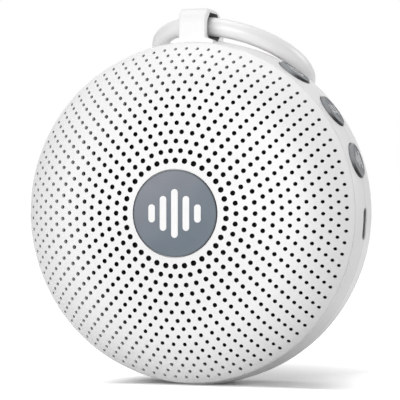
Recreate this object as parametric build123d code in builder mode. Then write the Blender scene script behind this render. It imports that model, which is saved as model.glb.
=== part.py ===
from build123d import *
import os
from math import cos, hypot, radians, sin, sqrt

# Round portable sound machine, in millimetres. X is to the right seen from the front, Y points to
# the back, Z is up. The origin is on the small flat under the rim that the body stands on, below
# the parting line of the two shells. Depths are Y values: 0 at the parting line, less to the front.

os.makedirs("parts", exist_ok=True)

# ---- body -----------------------------------------------------------------------------------------
BODY_R = 49.0                 # largest radius, at the parting line
REST_FLAT = 10.0              # width of the flat under the rim
WALL = 1.8                    # wall of the shells and the dome
CROWN_DEPTH = 20.7            # dome centre, in front of the parting line
SHOULDER_INSET = 16.0         # the dome turns downwards this far inside the body radius
SHOULDER_DROP = 3.1           # and this far behind its centre
EDGE_INSET = 1.3              # crease between dome and rim band, inside the body radius
EDGE_DEPTH = 7.8
CROWN_BEND = 307.0            # radius of the dome's nearly flat middle
SHOULDER_BEND = 22.5          # radius of its outer slope
CREASE = 0.35                 # depth and half width of the crease
BAND_INSET = 1.15             # front edge of the rim band, inside the body radius
BAND_BEND = 60.0              # radius of the band's crowned profile
SKIRT = 1.1                   # length of the dome's skirt inside the band
SKIRT_THICK = 0.5
BACK_DEPTH = 16.5             # back face, behind the parting line
BACK_ROUND = 9.5              # rounding between rim and back face
LIP_THICK = 1.1               # lip that centres the rear shell in the band
LIP_REACH = 1.6
LIP_ROOT = 2.4
GAP = 0.2                     # clearance between fitted pieces
FIT = 0.1                     # clearance of located pieces

# ---- holes in the dome ----------------------------------------------------------------------------
FIRST_RING_R = 14.61
FIRST_RING_COUNT = 34
RING_COUNT_STEP = 4
RING_PITCH = 2.70
RING_PITCH_LOSS = 0.0705
FIRST_HOLE_D = 1.58
SECOND_HOLE_D = 1.42
LAST_HOLE_D = 0.88
HOLE_D_LOSS = 0.0415
HOLE_EDGE_MARGIN = 1.1

# ---- cloth and badge ------------------------------------------------------------------------------
CLOTH = 0.35
CLOTH_EDGE = 2.2              # cloth edge, inside the dome's inner edge
BADGE_R = 12.0
BADGE_THICK = 1.0
BADGE_PROUD = 0.25
BADGE_EDGE = 0.25
BAR_HEIGHTS = (5.0, 9.6, 13.4, 9.6, 5.0)
BAR_WIDTH = 1.9
BAR_PITCH = 3.3
BAR_THICK = 0.15

# ---- buttons --------------------------------------------------------------------------------------
BUTTON_ANGLES = {"lower": 17.6, "middle": 35.8, "upper": 53.9}
BUTTON_R = 4.85
BUTTON_GAP = 0.25             # between cap and shell
BUTTON_BEVEL = 0.25           # bevel round each hole
BUTTON_PROUD = 0.4            # cap face above the rim
BUTTON_TRAVEL = 0.35
CAP_ROUND = 0.45
FLANGE_R = 5.6
FLANGE_THICK = 0.8
FLANGE_DROP = 0.35            # play between flange and shell
WELL_R = 6.1                  # room cut for the flange inside the shells
PLUNGER_R = 1.5
STEM_R = 1.1
STEM_ABOVE = 0.8
STEM_BELOW = 0.7
SWITCH_SIZE = 5.2
SWITCH_HEIGHT = 1.5
SWITCH_BORE = 1.25
SWITCH_FLOOR = 0.35
SWITCH_INSET = 8.8            # back of the switches, inside the body radius
FLEX = 0.2
FLEX_WIDTH = 8.0
FLEX_LENGTH = 13.4
BRACKET_WIDTH = 7.0
BRACKET_LENGTH = 12.7

# ---- USB port -------------------------------------------------------------------------------------
USB_ANGLE = -3.5
USB_WIDTH = 8.94
USB_HEIGHT = 3.26
USB_LENGTH = 7.35
USB_WALL = 0.3
USB_SINK = 0.35
USB_BOARD = 1.0
USB_BOARD_WIDTH = 12.4
USB_BOARD_LENGTH = 9.2
USB_BOARD_INSET = 2.6         # outer edge of the board, inside the body radius
USB_POST_R = 1.6
USB_POST_SPREAD = 4.5
TONGUE_WIDTH = 6.7
TONGUE_THICK = 0.7
TONGUE_SINK = 1.0
TONGUE_ROOT = 1.8
RIBBON_WIDTH = 4.6
RIBBON_THICK = 0.4

# ---- loudspeaker ----------------------------------------------------------------------------------
CARRIER_INSET = 12.0          # outside of the speaker carrier, inside the body radius
CARRIER_WALL = 1.5
SEAT_DEPTH = 12.4             # front face of the carrier's plate
FRAME_INSET = 8.5             # speaker frame, inside the carrier's outside
FRAME_THICK = 1.2
FRAME_LIP = 3.3
EAR_R = 2.8
GASKET_WIDTH = 2.6
GASKET_THICK = 1.8
BASKET_WALL = 1.0
MAGNET_R = 16.0
MAGNET_BORE = 9.5
MAGNET_THICK = 4.0
PLATE_THICK = 2.5
SPEAKER_CLEAR = 1.9           # between battery and the back of the speaker
POLE_R = 6.0
COIL_R = 6.5
FORMER_THICK = 0.2
COIL_THICK = 0.45
COIL_HEIGHT = 4.0
CONE_THICK = 0.4
NECK_RISE = 4.0               # cone's neck, in front of the top plate
SURROUND_R = 1.35             # radius of the surround's roll
SURROUND_THICK = 0.3
DUST_CAP_R = 9.0
DUST_CAP_RISE = 2.4
SPIDER_THICK = 0.35
SPIDER_WAVES = 4
SPIDER_WAVE = 0.5             # height of the spider's waves
COIL_BELOW = 1.5              # end of the coil's former, behind the top plate
PLATE_BORE_R = 7.5
BASKET_BORE_R = 12.0
SPOKE_WIDTH = 8.0
BASKET_WINDOWS = 4
TERMINAL_ANGLE = 190.0
TERMINAL_REACH = 4.0
TERMINAL_WIDTH = 8.0
TERMINAL_THICK = 1.2
SPEAKER_SCREW_START = 45.0
SPEAKER_SCREW_COUNT = 4

# ---- screws ---------------------------------------------------------------------------------------
SCREW_INSET = 8.5             # housing screws, inside the body radius
SCREW_START = 72.0
SCREW_COUNT = 4
SCREW_R = 1.25
SCREW_HEAD_R = 2.2
SCREW_HEAD = 1.6
SCREW_REACH = 6.0             # screw tips, in front of the parting line
SCREW_SEAT = 8.0              # depth of the screw heads' seat
DRIVE_R = 0.9
DRIVE_DEPTH = 0.8
LUG_R = 3.0
LUG_LENGTH = 7.0
LUG_WEB = 3.0
BOSS_R = 3.5
CARRIER_EAR = 1.8
SMALL_SCREW_R = 1.0
SMALL_HEAD_R = 1.8
SMALL_HEAD = 1.1
SMALL_LENGTH = 3.2

# ---- boards and battery ---------------------------------------------------------------------------
BOARD = 1.6
BOARD_DEPTH = 9.4             # front face of the main board
BOARD_INSET = 2.5             # board edge, inside the flat of the back
BOARD_POST_ANGLES = (12.0, 100.0, 172.0)
BOARD_POST_R = 2.4
BOARD_POST_INSET = 3.0
BATTERY_WIDTH = 40.0
BATTERY_THICK = 6.4
BATTERY_HEIGHT = 20.0
BATTERY_FOAM = 0.4
BATTERY_ROUND = 1.6
BATTERY_CLEAR = 2.0           # between battery and main board
LEAD_R = 0.55
LEAD_SPACING = 2.0
CONNECTOR = (7.0, 2.6, 4.6)   # width, depth, height of the wire connectors
CONNECTOR_INSET = 1.1         # connectors, inside the board's edge
CHIPS = ((-20.5, 12.0, 7.0, 7.0, 1.0), (21.0, 4.0, 5.0, 6.2, 1.5), (4.0, 27.5, 4.4, 4.4, 0.9))
CAPACITOR_PLACES = ((-14.0, 24.0), (-8.5, 26.0))
CAPACITOR_R = 2.2
CAPACITOR_HEIGHT = 3.2
BATTERY_LEAD_X = -8.0

# ---- foot ring ------------------------------------------------------------------------------------
FOOT_R = 28.0
FOOT_WIDTH = 5.0
FOOT_PROUD = 0.5
FOOT_GROOVE = 0.6

# ---- strap loop -----------------------------------------------------------------------------------
LOOP_WIDTH = 8.2
LOOP_FRONT = 5.0              # front face, in front of the parting line
LOOP_BACK_INSET = 2.3         # back of its foot, in front of the back face
LOOP_BACK_TOP_INSET = 3.9     # back of its top, in front of the back face
LOOP_RISE = 9.0               # top, above the rim
LOOP_TOP_WALL = 1.15
LOOP_FRONT_WALL = 1.6
LOOP_ROUND = 4.0
LOOP_SLOPE = 7.6              # length of its top that bends down to the back
LOOP_BACK_DROP = 3.4          # and its drop
LOOP_BACK_BEND = 11.0
LOOP_SOFT = 0.8               # rounding of the strap's edges
LOOP_BACK_WALL = 3.2          # behind the tunnel, at the strap's top
TUNNEL_SCOOP = 1.0            # lowest point of the tunnel below the rim
TUNNEL_ROUND = 2.6
TUNNEL_SPRING = 1.6           # where the tunnel's sides meet its floor, above the rim
FLARE = 2.3                   # how far the foot spreads on each side
FLARE_TOP = 0.4               # height above the rim where the spread begins
FLARE_BEND = 3.4
LOOP_FLANGE = 1.6
LOOP_FLANGE_THICK = 1.3

# ---- hanging ring ---------------------------------------------------------------------------------
RING_R = 22.1                 # radius of the tube's centreline
TUBE_R = 2.65
RING_RISE = 4.3               # centreline in the loop, above the rim
RING_DEPTH = 3.0              # and behind the parting line
RING_TURN = 14.0              # the ring leans back and to the right by this angle
RING_ROLL = 2.5               # its right side hangs lower by this angle
RING_REST_GAP = 0.4           # between the leaning ring and the rear shell
RING_LEANS = (5.0, 60.0)      # range of its slope, down from level
GATE_HALF = 34.0              # half the angle of the gate, at the far end of the ring
PIN_R = 0.6
PIN_LENGTH = 5.0
TONGUE_HALF = 0.85
RUNNING_GAP = 0.05
CHEEK_GAP = 0.1
NOSE_TILT = 12.0
NOSE_GAP = 0.2
NOSE_OVERRUN = 12.0           # extra angle swept before the joint is cut

# ---- derived places -------------------------------------------------------------------------------
AXIS_Z = sqrt(BODY_R**2 - (REST_FLAT / 2) ** 2)
BODY_AXIS = Axis((0, 0, AXIS_Z), (0, 1, 0))
BACK_FLAT_R = BODY_R - BACK_ROUND
INNER_R = BODY_R - WALL
INNER_BACK = BACK_DEPTH - WALL
BATTERY_BACK = INNER_BACK - BATTERY_FOAM
YOKE_BACK_DEPTH = BATTERY_BACK - BATTERY_THICK - SPEAKER_CLEAR
YOKE_FRONT = YOKE_BACK_DEPTH - PLATE_THICK
CARRIER_R = BODY_R - CARRIER_INSET
FRAME_R = CARRIER_R - FRAME_INSET
OPENING_R = FRAME_R - FRAME_LIP
EAR_RING_R = FRAME_R + EAR_R + 1.0
SCREW_RING_R = BODY_R - SCREW_INSET
FRAME_FRONT = -SEAT_DEPTH - FRAME_THICK
TOP_PLATE_BACK = YOKE_FRONT - MAGNET_THICK
TOP_PLATE_FRONT = TOP_PLATE_BACK - PLATE_THICK
BOARD_R = BACK_FLAT_R - BOARD_INSET
BOARD_BACK = BOARD_DEPTH + BOARD
BATTERY_LOW = -sqrt((BACK_FLAT_R - 1.0) ** 2 - (BATTERY_WIDTH / 2) ** 2)
BATTERY_TOP = BATTERY_LOW + BATTERY_HEIGHT
BOARD_LOW = BATTERY_TOP + BATTERY_CLEAR
LOOP_BACK = BACK_DEPTH - LOOP_BACK_INSET
LOOP_BACK_TOP = BACK_DEPTH - LOOP_BACK_TOP_INSET
LOOP_CREST = LOOP_BACK_TOP - LOOP_SLOPE
LOOP_TOP = BODY_R + LOOP_RISE
TUNNEL_TOP = LOOP_TOP - LOOP_TOP_WALL
TUNNEL_FRONT = -LOOP_FRONT + LOOP_FRONT_WALL
TUNNEL_BACK = LOOP_BACK_TOP - LOOP_BACK_WALL
FOOT_HALF = LOOP_WIDTH / 2 + FLARE
SWITCH_BASE_R = BODY_R - SWITCH_INSET
SWITCH_TOP_R = SWITCH_BASE_R + SWITCH_HEIGHT
STEM_TOP_R = SWITCH_TOP_R + STEM_ABOVE
FLANGE_TOP_R = INNER_R - FLANGE_DROP
USB_MOUTH_R = BODY_R - USB_SINK
USB_BOARD_OUT_R = BODY_R - USB_BOARD_INSET
WELL_FLOOR_R = FLANGE_TOP_R - FLANGE_THICK - BUTTON_TRAVEL - GAP

# Half profiles are drawn as (depth, radius) and revolved about the body axis.
SECTION = Plane(origin=(0, 0, AXIS_Z), x_dir=(0, 1, 0), z_dir=(1, 0, 0))


def front_plane(depth):
    """Plane across the body axis at a depth, seen from the front: X right, Z up."""
    return Plane(origin=(0, depth, AXIS_Z), x_dir=(1, 0, 0), z_dir=(0, -1, 0))


def outward(angle):
    """Unit vector from the body axis at an angle above +X."""
    return Vector(cos(radians(angle)), 0, sin(radians(angle)))


def rim_plane(angle, radius):
    """Plane facing outwards on the rim: first coordinate runs round the rim, second to the front."""
    out = outward(angle)
    return Plane(
        origin=Vector(0, 0, AXIS_Z) + out * radius, x_dir=outward(angle + 90), z_dir=out
    )


def rim_section(angle):
    """Plane through the body axis at an angle, with (depth, radius) as its coordinates."""
    return Plane(
        origin=(0, 0, AXIS_Z), x_dir=(0, 1, 0), z_dir=Vector(0, 1, 0).cross(outward(angle))
    )


def arc_centre(start, end, radius):
    """Centre of the arc from start to end that bulges to the front and outwards."""
    half = hypot(end[0] - start[0], end[1] - start[1]) / 2
    unit = ((end[0] - start[0]) / (2 * half), (end[1] - start[1]) / (2 * half))
    reach = sqrt(radius**2 - half**2)
    return (
        (start[0] + end[0]) / 2 + unit[1] * reach,
        (start[1] + end[1]) / 2 - unit[0] * reach,
    )


def towards(point, centre, distance):
    """Point moved towards a centre by a distance."""
    run = hypot(centre[0] - point[0], centre[1] - point[1])
    return tuple(p + (c - p) * distance / run for p, c in zip(point, centre))


CROWN = (-CROWN_DEPTH, BADGE_R + BADGE_EDGE)
SHOULDER = (-CROWN_DEPTH + SHOULDER_DROP, BODY_R - SHOULDER_INSET)
EDGE = (-EDGE_DEPTH, BODY_R - EDGE_INSET)
CROWN_CENTRE = arc_centre(CROWN, SHOULDER, CROWN_BEND)
SHOULDER_CENTRE = arc_centre(SHOULDER, EDGE, SHOULDER_BEND)


def dome_points(inset):
    """The dome's three profile points, moved inwards by an inset."""
    return (
        towards(CROWN, CROWN_CENTRE, inset),
        towards(SHOULDER, SHOULDER_CENTRE, inset),
        towards(EDGE, SHOULDER_CENTRE, inset),
    )


def dome_depth(radius, inset):
    """Depth of the dome's slope at a radius, moved inwards by an inset."""
    bend = SHOULDER_BEND - inset
    return SHOULDER_CENTRE[0] - sqrt(bend**2 - (radius - SHOULDER_CENTRE[1]) ** 2)


def back_radius(depth, inset=0.0):
    """Radius of the rear shell at a depth, moved inwards by an inset."""
    bend = BACK_ROUND - inset
    start = BACK_DEPTH - BACK_ROUND
    return BACK_FLAT_R + (sqrt(bend**2 - (depth - start) ** 2) if depth > start else bend)


def hole_rows():
    """Radius, number, diameter and first angle of each ring of holes, while the dome has room."""
    rows, radius, pitch, count = [], FIRST_RING_R, RING_PITCH, FIRST_RING_COUNT
    while radius < BODY_R - EDGE_INSET - HOLE_EDGE_MARGIN:
        diameter = max(LAST_HOLE_D, SECOND_HOLE_D - (len(rows) - 1) * HOLE_D_LOSS)
        rows.append(
            (radius, count, diameter if rows else FIRST_HOLE_D, 90 + (len(rows) % 2) * 180 / count)
        )
        radius, pitch, count = radius + pitch, pitch - RING_PITCH_LOSS, count + RING_COUNT_STEP
    return rows


def finish(piece, name):
    """Label a finished piece and write its STEP file."""
    piece.part.label = name
    export_step(piece.part, f"parts/{name}.step", write_pcurves=False)


# ---- front grille: perforated dome with the badge's seat ------------------------------------------
SEAM = (EDGE[0] + CREASE, EDGE[1] - CREASE)
SKIRT_R = INNER_R - FIT
INNER_CROWN, INNER_SHOULDER, INNER_EDGE = dome_points(WALL)
BADGE_FLOOR = -CROWN_DEPTH - BADGE_PROUD + BADGE_THICK

with BuildPart() as front_grille:
    with BuildSketch(SECTION):
        with BuildLine():
            Polyline((BADGE_FLOOR, 0), (BADGE_FLOOR, CROWN[1]), CROWN)
            RadiusArc(CROWN, SHOULDER, CROWN_BEND)
            RadiusArc(SHOULDER, EDGE, SHOULDER_BEND)
            Polyline(
                EDGE,
                SEAM,
                (SEAM[0], SKIRT_R),
                (SEAM[0] + SKIRT, SKIRT_R),
                (SEAM[0] + SKIRT, SKIRT_R - SKIRT_THICK),
                INNER_EDGE,
            )
            RadiusArc(INNER_EDGE, INNER_SHOULDER, -(SHOULDER_BEND - WALL))
            RadiusArc(INNER_SHOULDER, INNER_CROWN, -(CROWN_BEND - WALL))
            Polyline(INNER_CROWN, (INNER_CROWN[0], 0), (BADGE_FLOOR, 0))
        make_face()
    revolve(axis=BODY_AXIS)
    with BuildSketch(front_plane(-CROWN_DEPTH - 1)):
        for radius, count, diameter, first in hole_rows():
            with PolarLocations(radius, count, start_angle=first):
                Circle(diameter / 2)
    extrude(amount=-(CROWN_DEPTH + 1 + INNER_EDGE[0]), mode=Mode.SUBTRACT)
finish(front_grille, "front_grille")

# ---- grille cloth ---------------------------------------------------------------------------------
OUT_CROWN, OUT_SHOULDER = dome_points(WALL + FIT)[:2]
IN_CROWN, IN_SHOULDER = dome_points(WALL + FIT + CLOTH)[:2]
CLOTH_R = INNER_EDGE[1] - CLOTH_EDGE

with BuildPart() as grille_cloth:
    with BuildSketch(SECTION):
        with BuildLine():
            Polyline((IN_CROWN[0], 0), (OUT_CROWN[0], 0), OUT_CROWN)
            RadiusArc(OUT_CROWN, OUT_SHOULDER, CROWN_BEND - WALL - FIT)
            outer_edge = (dome_depth(CLOTH_R, WALL + FIT), CLOTH_R)
            inner_edge = (dome_depth(CLOTH_R - FIT, WALL + FIT + CLOTH), CLOTH_R - FIT)
            RadiusArc(OUT_SHOULDER, outer_edge, SHOULDER_BEND - WALL - FIT)
            Line(outer_edge, inner_edge)
            RadiusArc(inner_edge, IN_SHOULDER, -(SHOULDER_BEND - WALL - FIT - CLOTH))
            RadiusArc(IN_SHOULDER, IN_CROWN, -(CROWN_BEND - WALL - FIT - CLOTH))
            Line(IN_CROWN, (IN_CROWN[0], 0))
        make_face()
    revolve(axis=BODY_AXIS)
finish(grille_cloth, "grille_cloth")

# ---- centre badge and its generic sound-level bars ------------------------------------------------
BADGE_FACE = -CROWN_DEPTH - BADGE_PROUD

with BuildPart() as centre_badge:
    with BuildSketch(front_plane(BADGE_FLOOR)):
        Circle(BADGE_R)
    extrude(amount=BADGE_THICK)
    chamfer(centre_badge.edges().group_by(Axis.Y)[0], length=BADGE_EDGE / 2)
finish(centre_badge, "centre_badge")

with BuildPart() as badge_bars:
    with BuildSketch(front_plane(BADGE_FACE)):
        for place, height in enumerate(BAR_HEIGHTS):
            with Locations(((place - (len(BAR_HEIGHTS) - 1) / 2) * BAR_PITCH, 0)):
                SlotOverall(height, BAR_WIDTH, rotation=90)
    extrude(amount=BAR_THICK)
finish(badge_bars, "badge_bars")

# ---- tunnel of the strap loop, also scooped out of the rim below the ring -------------------------
TUNNEL_MID = (TUNNEL_FRONT + TUNNEL_BACK) / 2

with BuildPart() as tunnel:
    with BuildSketch(SECTION):
        with BuildLine():
            ThreePointArc(
                (TUNNEL_FRONT, BODY_R + TUNNEL_SPRING),
                (TUNNEL_MID, BODY_R - TUNNEL_SCOOP),
                (TUNNEL_BACK, BODY_R + TUNNEL_SPRING),
            )
            Polyline(
                (TUNNEL_BACK, BODY_R + TUNNEL_SPRING),
                (TUNNEL_BACK, TUNNEL_TOP - TUNNEL_ROUND),
                (TUNNEL_BACK - TUNNEL_ROUND, TUNNEL_TOP),
                (TUNNEL_FRONT + TUNNEL_ROUND, TUNNEL_TOP),
                (TUNNEL_FRONT, TUNNEL_TOP - TUNNEL_ROUND),
                (TUNNEL_FRONT, BODY_R + TUNNEL_SPRING),
            )
        make_face()
    extrude(amount=2 * FOOT_HALF, both=True)

# ---- openings in the rim, cut from both shells ----------------------------------------------------
with BuildPart() as rim_openings:
    for angle in BUTTON_ANGLES.values():
        with BuildSketch(rim_plane(angle, WELL_FLOOR_R)):
            Circle(WELL_R)
        extrude(amount=INNER_R - WELL_FLOOR_R)
        with BuildSketch(rim_plane(angle, WELL_FLOOR_R)):
            Circle(BUTTON_R + BUTTON_GAP)
        extrude(amount=BODY_R - WELL_FLOOR_R + WALL)
    with BuildSketch(rim_plane(USB_ANGLE, INNER_R - 2 * WALL)):
        SlotOverall(USB_WIDTH + 2 * FIT, USB_HEIGHT + 2 * FIT)
    extrude(amount=4 * WALL)
    with BuildSketch(front_plane(-LOOP_FRONT - FIT)):
        with Locations((0, BODY_R)):
            Rectangle(2 * FOOT_HALF, 2 * BACK_ROUND)
    extrude(amount=-(LOOP_FRONT + LOOP_BACK + 2 * FIT))
    add(tunnel.part)


# ---- rim band: front half of the rim, with lugs for the housing screws ----------------------------
def hole_rims(shell):
    """Edges where the button holes meet the outside of a shell."""
    rims = []
    for angle in BUTTON_ANGLES.values():
        out = outward(angle)
        for edge in shell.edges():
            points = [edge @ share - Vector(0, 0, AXIS_Z) for share in (0, 0.3, 0.7, 1)]
            if all(
                point.dot(out) > 0
                and abs(point.cross(out).length - BUTTON_R - BUTTON_GAP) < FIT / 10
                and hypot(point.X, point.Z) > INNER_R + WALL / 2
                for point in points
            ):
                rims.append(edge)
    return rims


def ring_places(radius, count, start):
    """Equally spaced places on a circle about the body axis, as (X, Z) pairs."""
    turns = [outward(start + 360 * k / count) * radius for k in range(count)]
    return [(turn.X, turn.Z) for turn in turns]


SCREW_PLACES = ring_places(SCREW_RING_R, SCREW_COUNT, SCREW_START)
WEB_LENGTH = INNER_R + WALL / 2 - SCREW_RING_R
WEB_MID_R = SCREW_RING_R + WEB_LENGTH / 2

with BuildPart() as rim_band:
    with BuildSketch(SECTION):
        with BuildLine():
            Line(SEAM, (SEAM[0] + CREASE, BODY_R - BAND_INSET))
            RadiusArc((SEAM[0] + CREASE, BODY_R - BAND_INSET), (0, BODY_R), BAND_BEND)
            Polyline((0, BODY_R), (0, INNER_R), (SEAM[0], INNER_R), SEAM)
        make_face()
    revolve(axis=BODY_AXIS)
    with BuildSketch(front_plane(0)):
        with Locations(*SCREW_PLACES):
            Circle(LUG_R)
        with PolarLocations(WEB_MID_R, SCREW_COUNT, SCREW_START):
            Rectangle(WEB_LENGTH, LUG_WEB)
    extrude(amount=LUG_LENGTH - WALL / 2)
    with BuildSketch(front_plane(0)):
        with Locations(*SCREW_PLACES):
            Circle(SCREW_R)
    extrude(amount=LUG_LENGTH, mode=Mode.SUBTRACT)
    add(rim_openings.part, mode=Mode.SUBTRACT)
    split(bisect_by=Plane.XY)
    chamfer(hole_rims(rim_band), length=BUTTON_BEVEL)
finish(rim_band, "rim_band")

# ---- rear shell -----------------------------------------------------------------------------------
BACK_TURN = BACK_DEPTH - BACK_ROUND
LIP_R = INNER_R - FIT
POST_ROOT = INNER_BACK + WALL / 4
BOARD_POST_RING_R = BOARD_R - BOARD_POST_INSET
BOARD_POST_PLACES = [
    (BOARD_POST_RING_R * cos(radians(angle)), BOARD_POST_RING_R * sin(radians(angle)))
    for angle in BOARD_POST_ANGLES
]
USB_POST_RING_R = BODY_R - USB_LENGTH - USB_SINK - USB_POST_R
USB_BOARD_BACK = USB_HEIGHT / 2 + USB_BOARD
USB_POST_VECTORS = [
    outward(USB_ANGLE) * USB_POST_RING_R + outward(USB_ANGLE + 90) * side
    for side in (-USB_POST_SPREAD, USB_POST_SPREAD)
]
USB_POST_PLACES = [(vector.X, vector.Z) for vector in USB_POST_VECTORS]

with BuildPart() as rear_shell:
    with BuildSketch(SECTION):
        with BuildLine():
            Line((0, BODY_R), (BACK_TURN, BODY_R))
            RadiusArc((BACK_TURN, BODY_R), (BACK_DEPTH, BACK_FLAT_R), BACK_ROUND)
            Polyline((BACK_DEPTH, BACK_FLAT_R), (BACK_DEPTH, 0), (INNER_BACK, 0), (INNER_BACK, BACK_FLAT_R))
            RadiusArc((INNER_BACK, BACK_FLAT_R), (BACK_TURN, INNER_R), -(BACK_ROUND - WALL))
            Polyline(
                (BACK_TURN, INNER_R),
                (LIP_ROOT, INNER_R),
                (LIP_ROOT, LIP_R - LIP_THICK),
                (-LIP_REACH, LIP_R - LIP_THICK),
                (-LIP_REACH, LIP_R),
                (0, LIP_R),
                (0, BODY_R),
            )
        make_face()
    revolve(axis=BODY_AXIS)
    # the lip makes way for the lugs, for the strap loop's flange and for the USB board
    with BuildSketch(front_plane(0)):
        with Locations(*SCREW_PLACES):
            Circle(LUG_R + GAP)
        with PolarLocations(WEB_MID_R, SCREW_COUNT, SCREW_START):
            Rectangle(WEB_LENGTH, LUG_WEB + 2 * GAP)
    extrude(amount=LIP_REACH + WALL, mode=Mode.SUBTRACT)
    with BuildSketch(front_plane(LIP_ROOT)):
        with Locations((0, BODY_R)):
            Rectangle(2 * (FOOT_HALF + LOOP_FLANGE + GAP), 2 * BACK_ROUND)
        with PolarLocations(BODY_R, 1, start_angle=USB_ANGLE):
            Rectangle(2 * BACK_ROUND, USB_BOARD_WIDTH + 2 * GAP)
        Circle(INNER_R, mode=Mode.INTERSECT)
    extrude(amount=LIP_ROOT + LIP_REACH, mode=Mode.SUBTRACT)
    # posts from the back wall
    with BuildSketch(front_plane(POST_ROOT)):
        with Locations(*SCREW_PLACES):
            Circle(BOSS_R)
    extrude(amount=POST_ROOT - CARRIER_EAR)
    with BuildSketch(front_plane(POST_ROOT)):
        with Locations(*BOARD_POST_PLACES):
            Circle(BOARD_POST_R)
    extrude(amount=POST_ROOT - BOARD_BACK)
    with BuildSketch(front_plane(POST_ROOT)):
        with Locations(*USB_POST_PLACES):
            Circle(USB_POST_R)
    extrude(amount=POST_ROOT - USB_BOARD_BACK)
    # screw holes, counterbores and the foot ring's groove
    with BuildSketch(front_plane(BOARD_BACK)):
        with Locations(*BOARD_POST_PLACES):
            Circle(SMALL_SCREW_R)
    extrude(amount=-(SMALL_LENGTH - BOARD + GAP), mode=Mode.SUBTRACT)
    with BuildSketch(front_plane(BACK_DEPTH)):
        with Locations(*SCREW_PLACES):
            Circle(SCREW_R + GAP)
    extrude(amount=BACK_DEPTH, mode=Mode.SUBTRACT)
    with BuildSketch(front_plane(BACK_DEPTH)):
        with Locations(*SCREW_PLACES):
            Circle(SCREW_HEAD_R + GAP)
    extrude(amount=BACK_DEPTH - SCREW_SEAT, mode=Mode.SUBTRACT)
    with BuildSketch(front_plane(BACK_DEPTH)):
        Circle(FOOT_R + FOOT_WIDTH / 2)
        Circle(FOOT_R - FOOT_WIDTH / 2, mode=Mode.SUBTRACT)
    extrude(amount=FOOT_GROOVE, mode=Mode.SUBTRACT)
    add(rim_openings.part, mode=Mode.SUBTRACT)
    split(bisect_by=Plane.XY)
    chamfer(hole_rims(rear_shell), length=BUTTON_BEVEL)
finish(rear_shell, "rear_shell")

# ---- foot ring on the back ------------------------------------------------------------------------
with BuildPart() as foot_ring:
    with BuildSketch(front_plane(BACK_DEPTH - FOOT_GROOVE)):
        Circle(FOOT_R + FOOT_WIDTH / 2 - FIT)
        Circle(FOOT_R - FOOT_WIDTH / 2 + FIT, mode=Mode.SUBTRACT)
    extrude(amount=-(FOOT_GROOVE + FOOT_PROUD))
    fillet(foot_ring.edges().group_by(Axis.Y)[-1], radius=FOOT_PROUD * 0.8)
finish(foot_ring, "foot_ring")

# ---- strap loop: the meeting of a front and a side silhouette, with a flange inside the wall ------
FLARE_LOW = (FOOT_HALF - FIT, sqrt(BODY_R**2 - FOOT_HALF**2) - CREASE)
FLARE_HIGH = (LOOP_WIDTH / 2, BODY_R + FLARE_TOP)
FOOT_INSET = WALL + FIT + LOOP_FLANGE_THICK / 2
FLANGE_FRONT = -LOOP_FRONT - WALL / 2
FLANGE_BACK = LOOP_BACK_TOP

with BuildPart() as loop_flange:
    with BuildSketch(SECTION):
        with BuildLine():
            outer, inner = WALL + FIT, WALL + FIT + LOOP_FLANGE_THICK
            outer_end = (FLANGE_BACK, back_radius(FLANGE_BACK, outer))
            inner_end = (FLANGE_BACK, back_radius(FLANGE_BACK, inner))
            Line((FLANGE_FRONT, BODY_R - outer), (BACK_TURN, BODY_R - outer))
            RadiusArc((BACK_TURN, BODY_R - outer), outer_end, BACK_ROUND - outer)
            Line(outer_end, inner_end)
            RadiusArc(inner_end, (BACK_TURN, BODY_R - inner), -(BACK_ROUND - inner))
            Polyline(
                (BACK_TURN, BODY_R - inner),
                (FLANGE_FRONT, BODY_R - inner),
                (FLANGE_FRONT, BODY_R - outer),
            )
        make_face()
    revolve(axis=BODY_AXIS)
    with BuildSketch(front_plane(FLANGE_FRONT)):
        with Locations((0, BODY_R)):
            Rectangle(2 * (FOOT_HALF + LOOP_FLANGE), 2 * BACK_ROUND)
    extrude(amount=-(FLANGE_BACK - FLANGE_FRONT), mode=Mode.INTERSECT)

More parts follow.
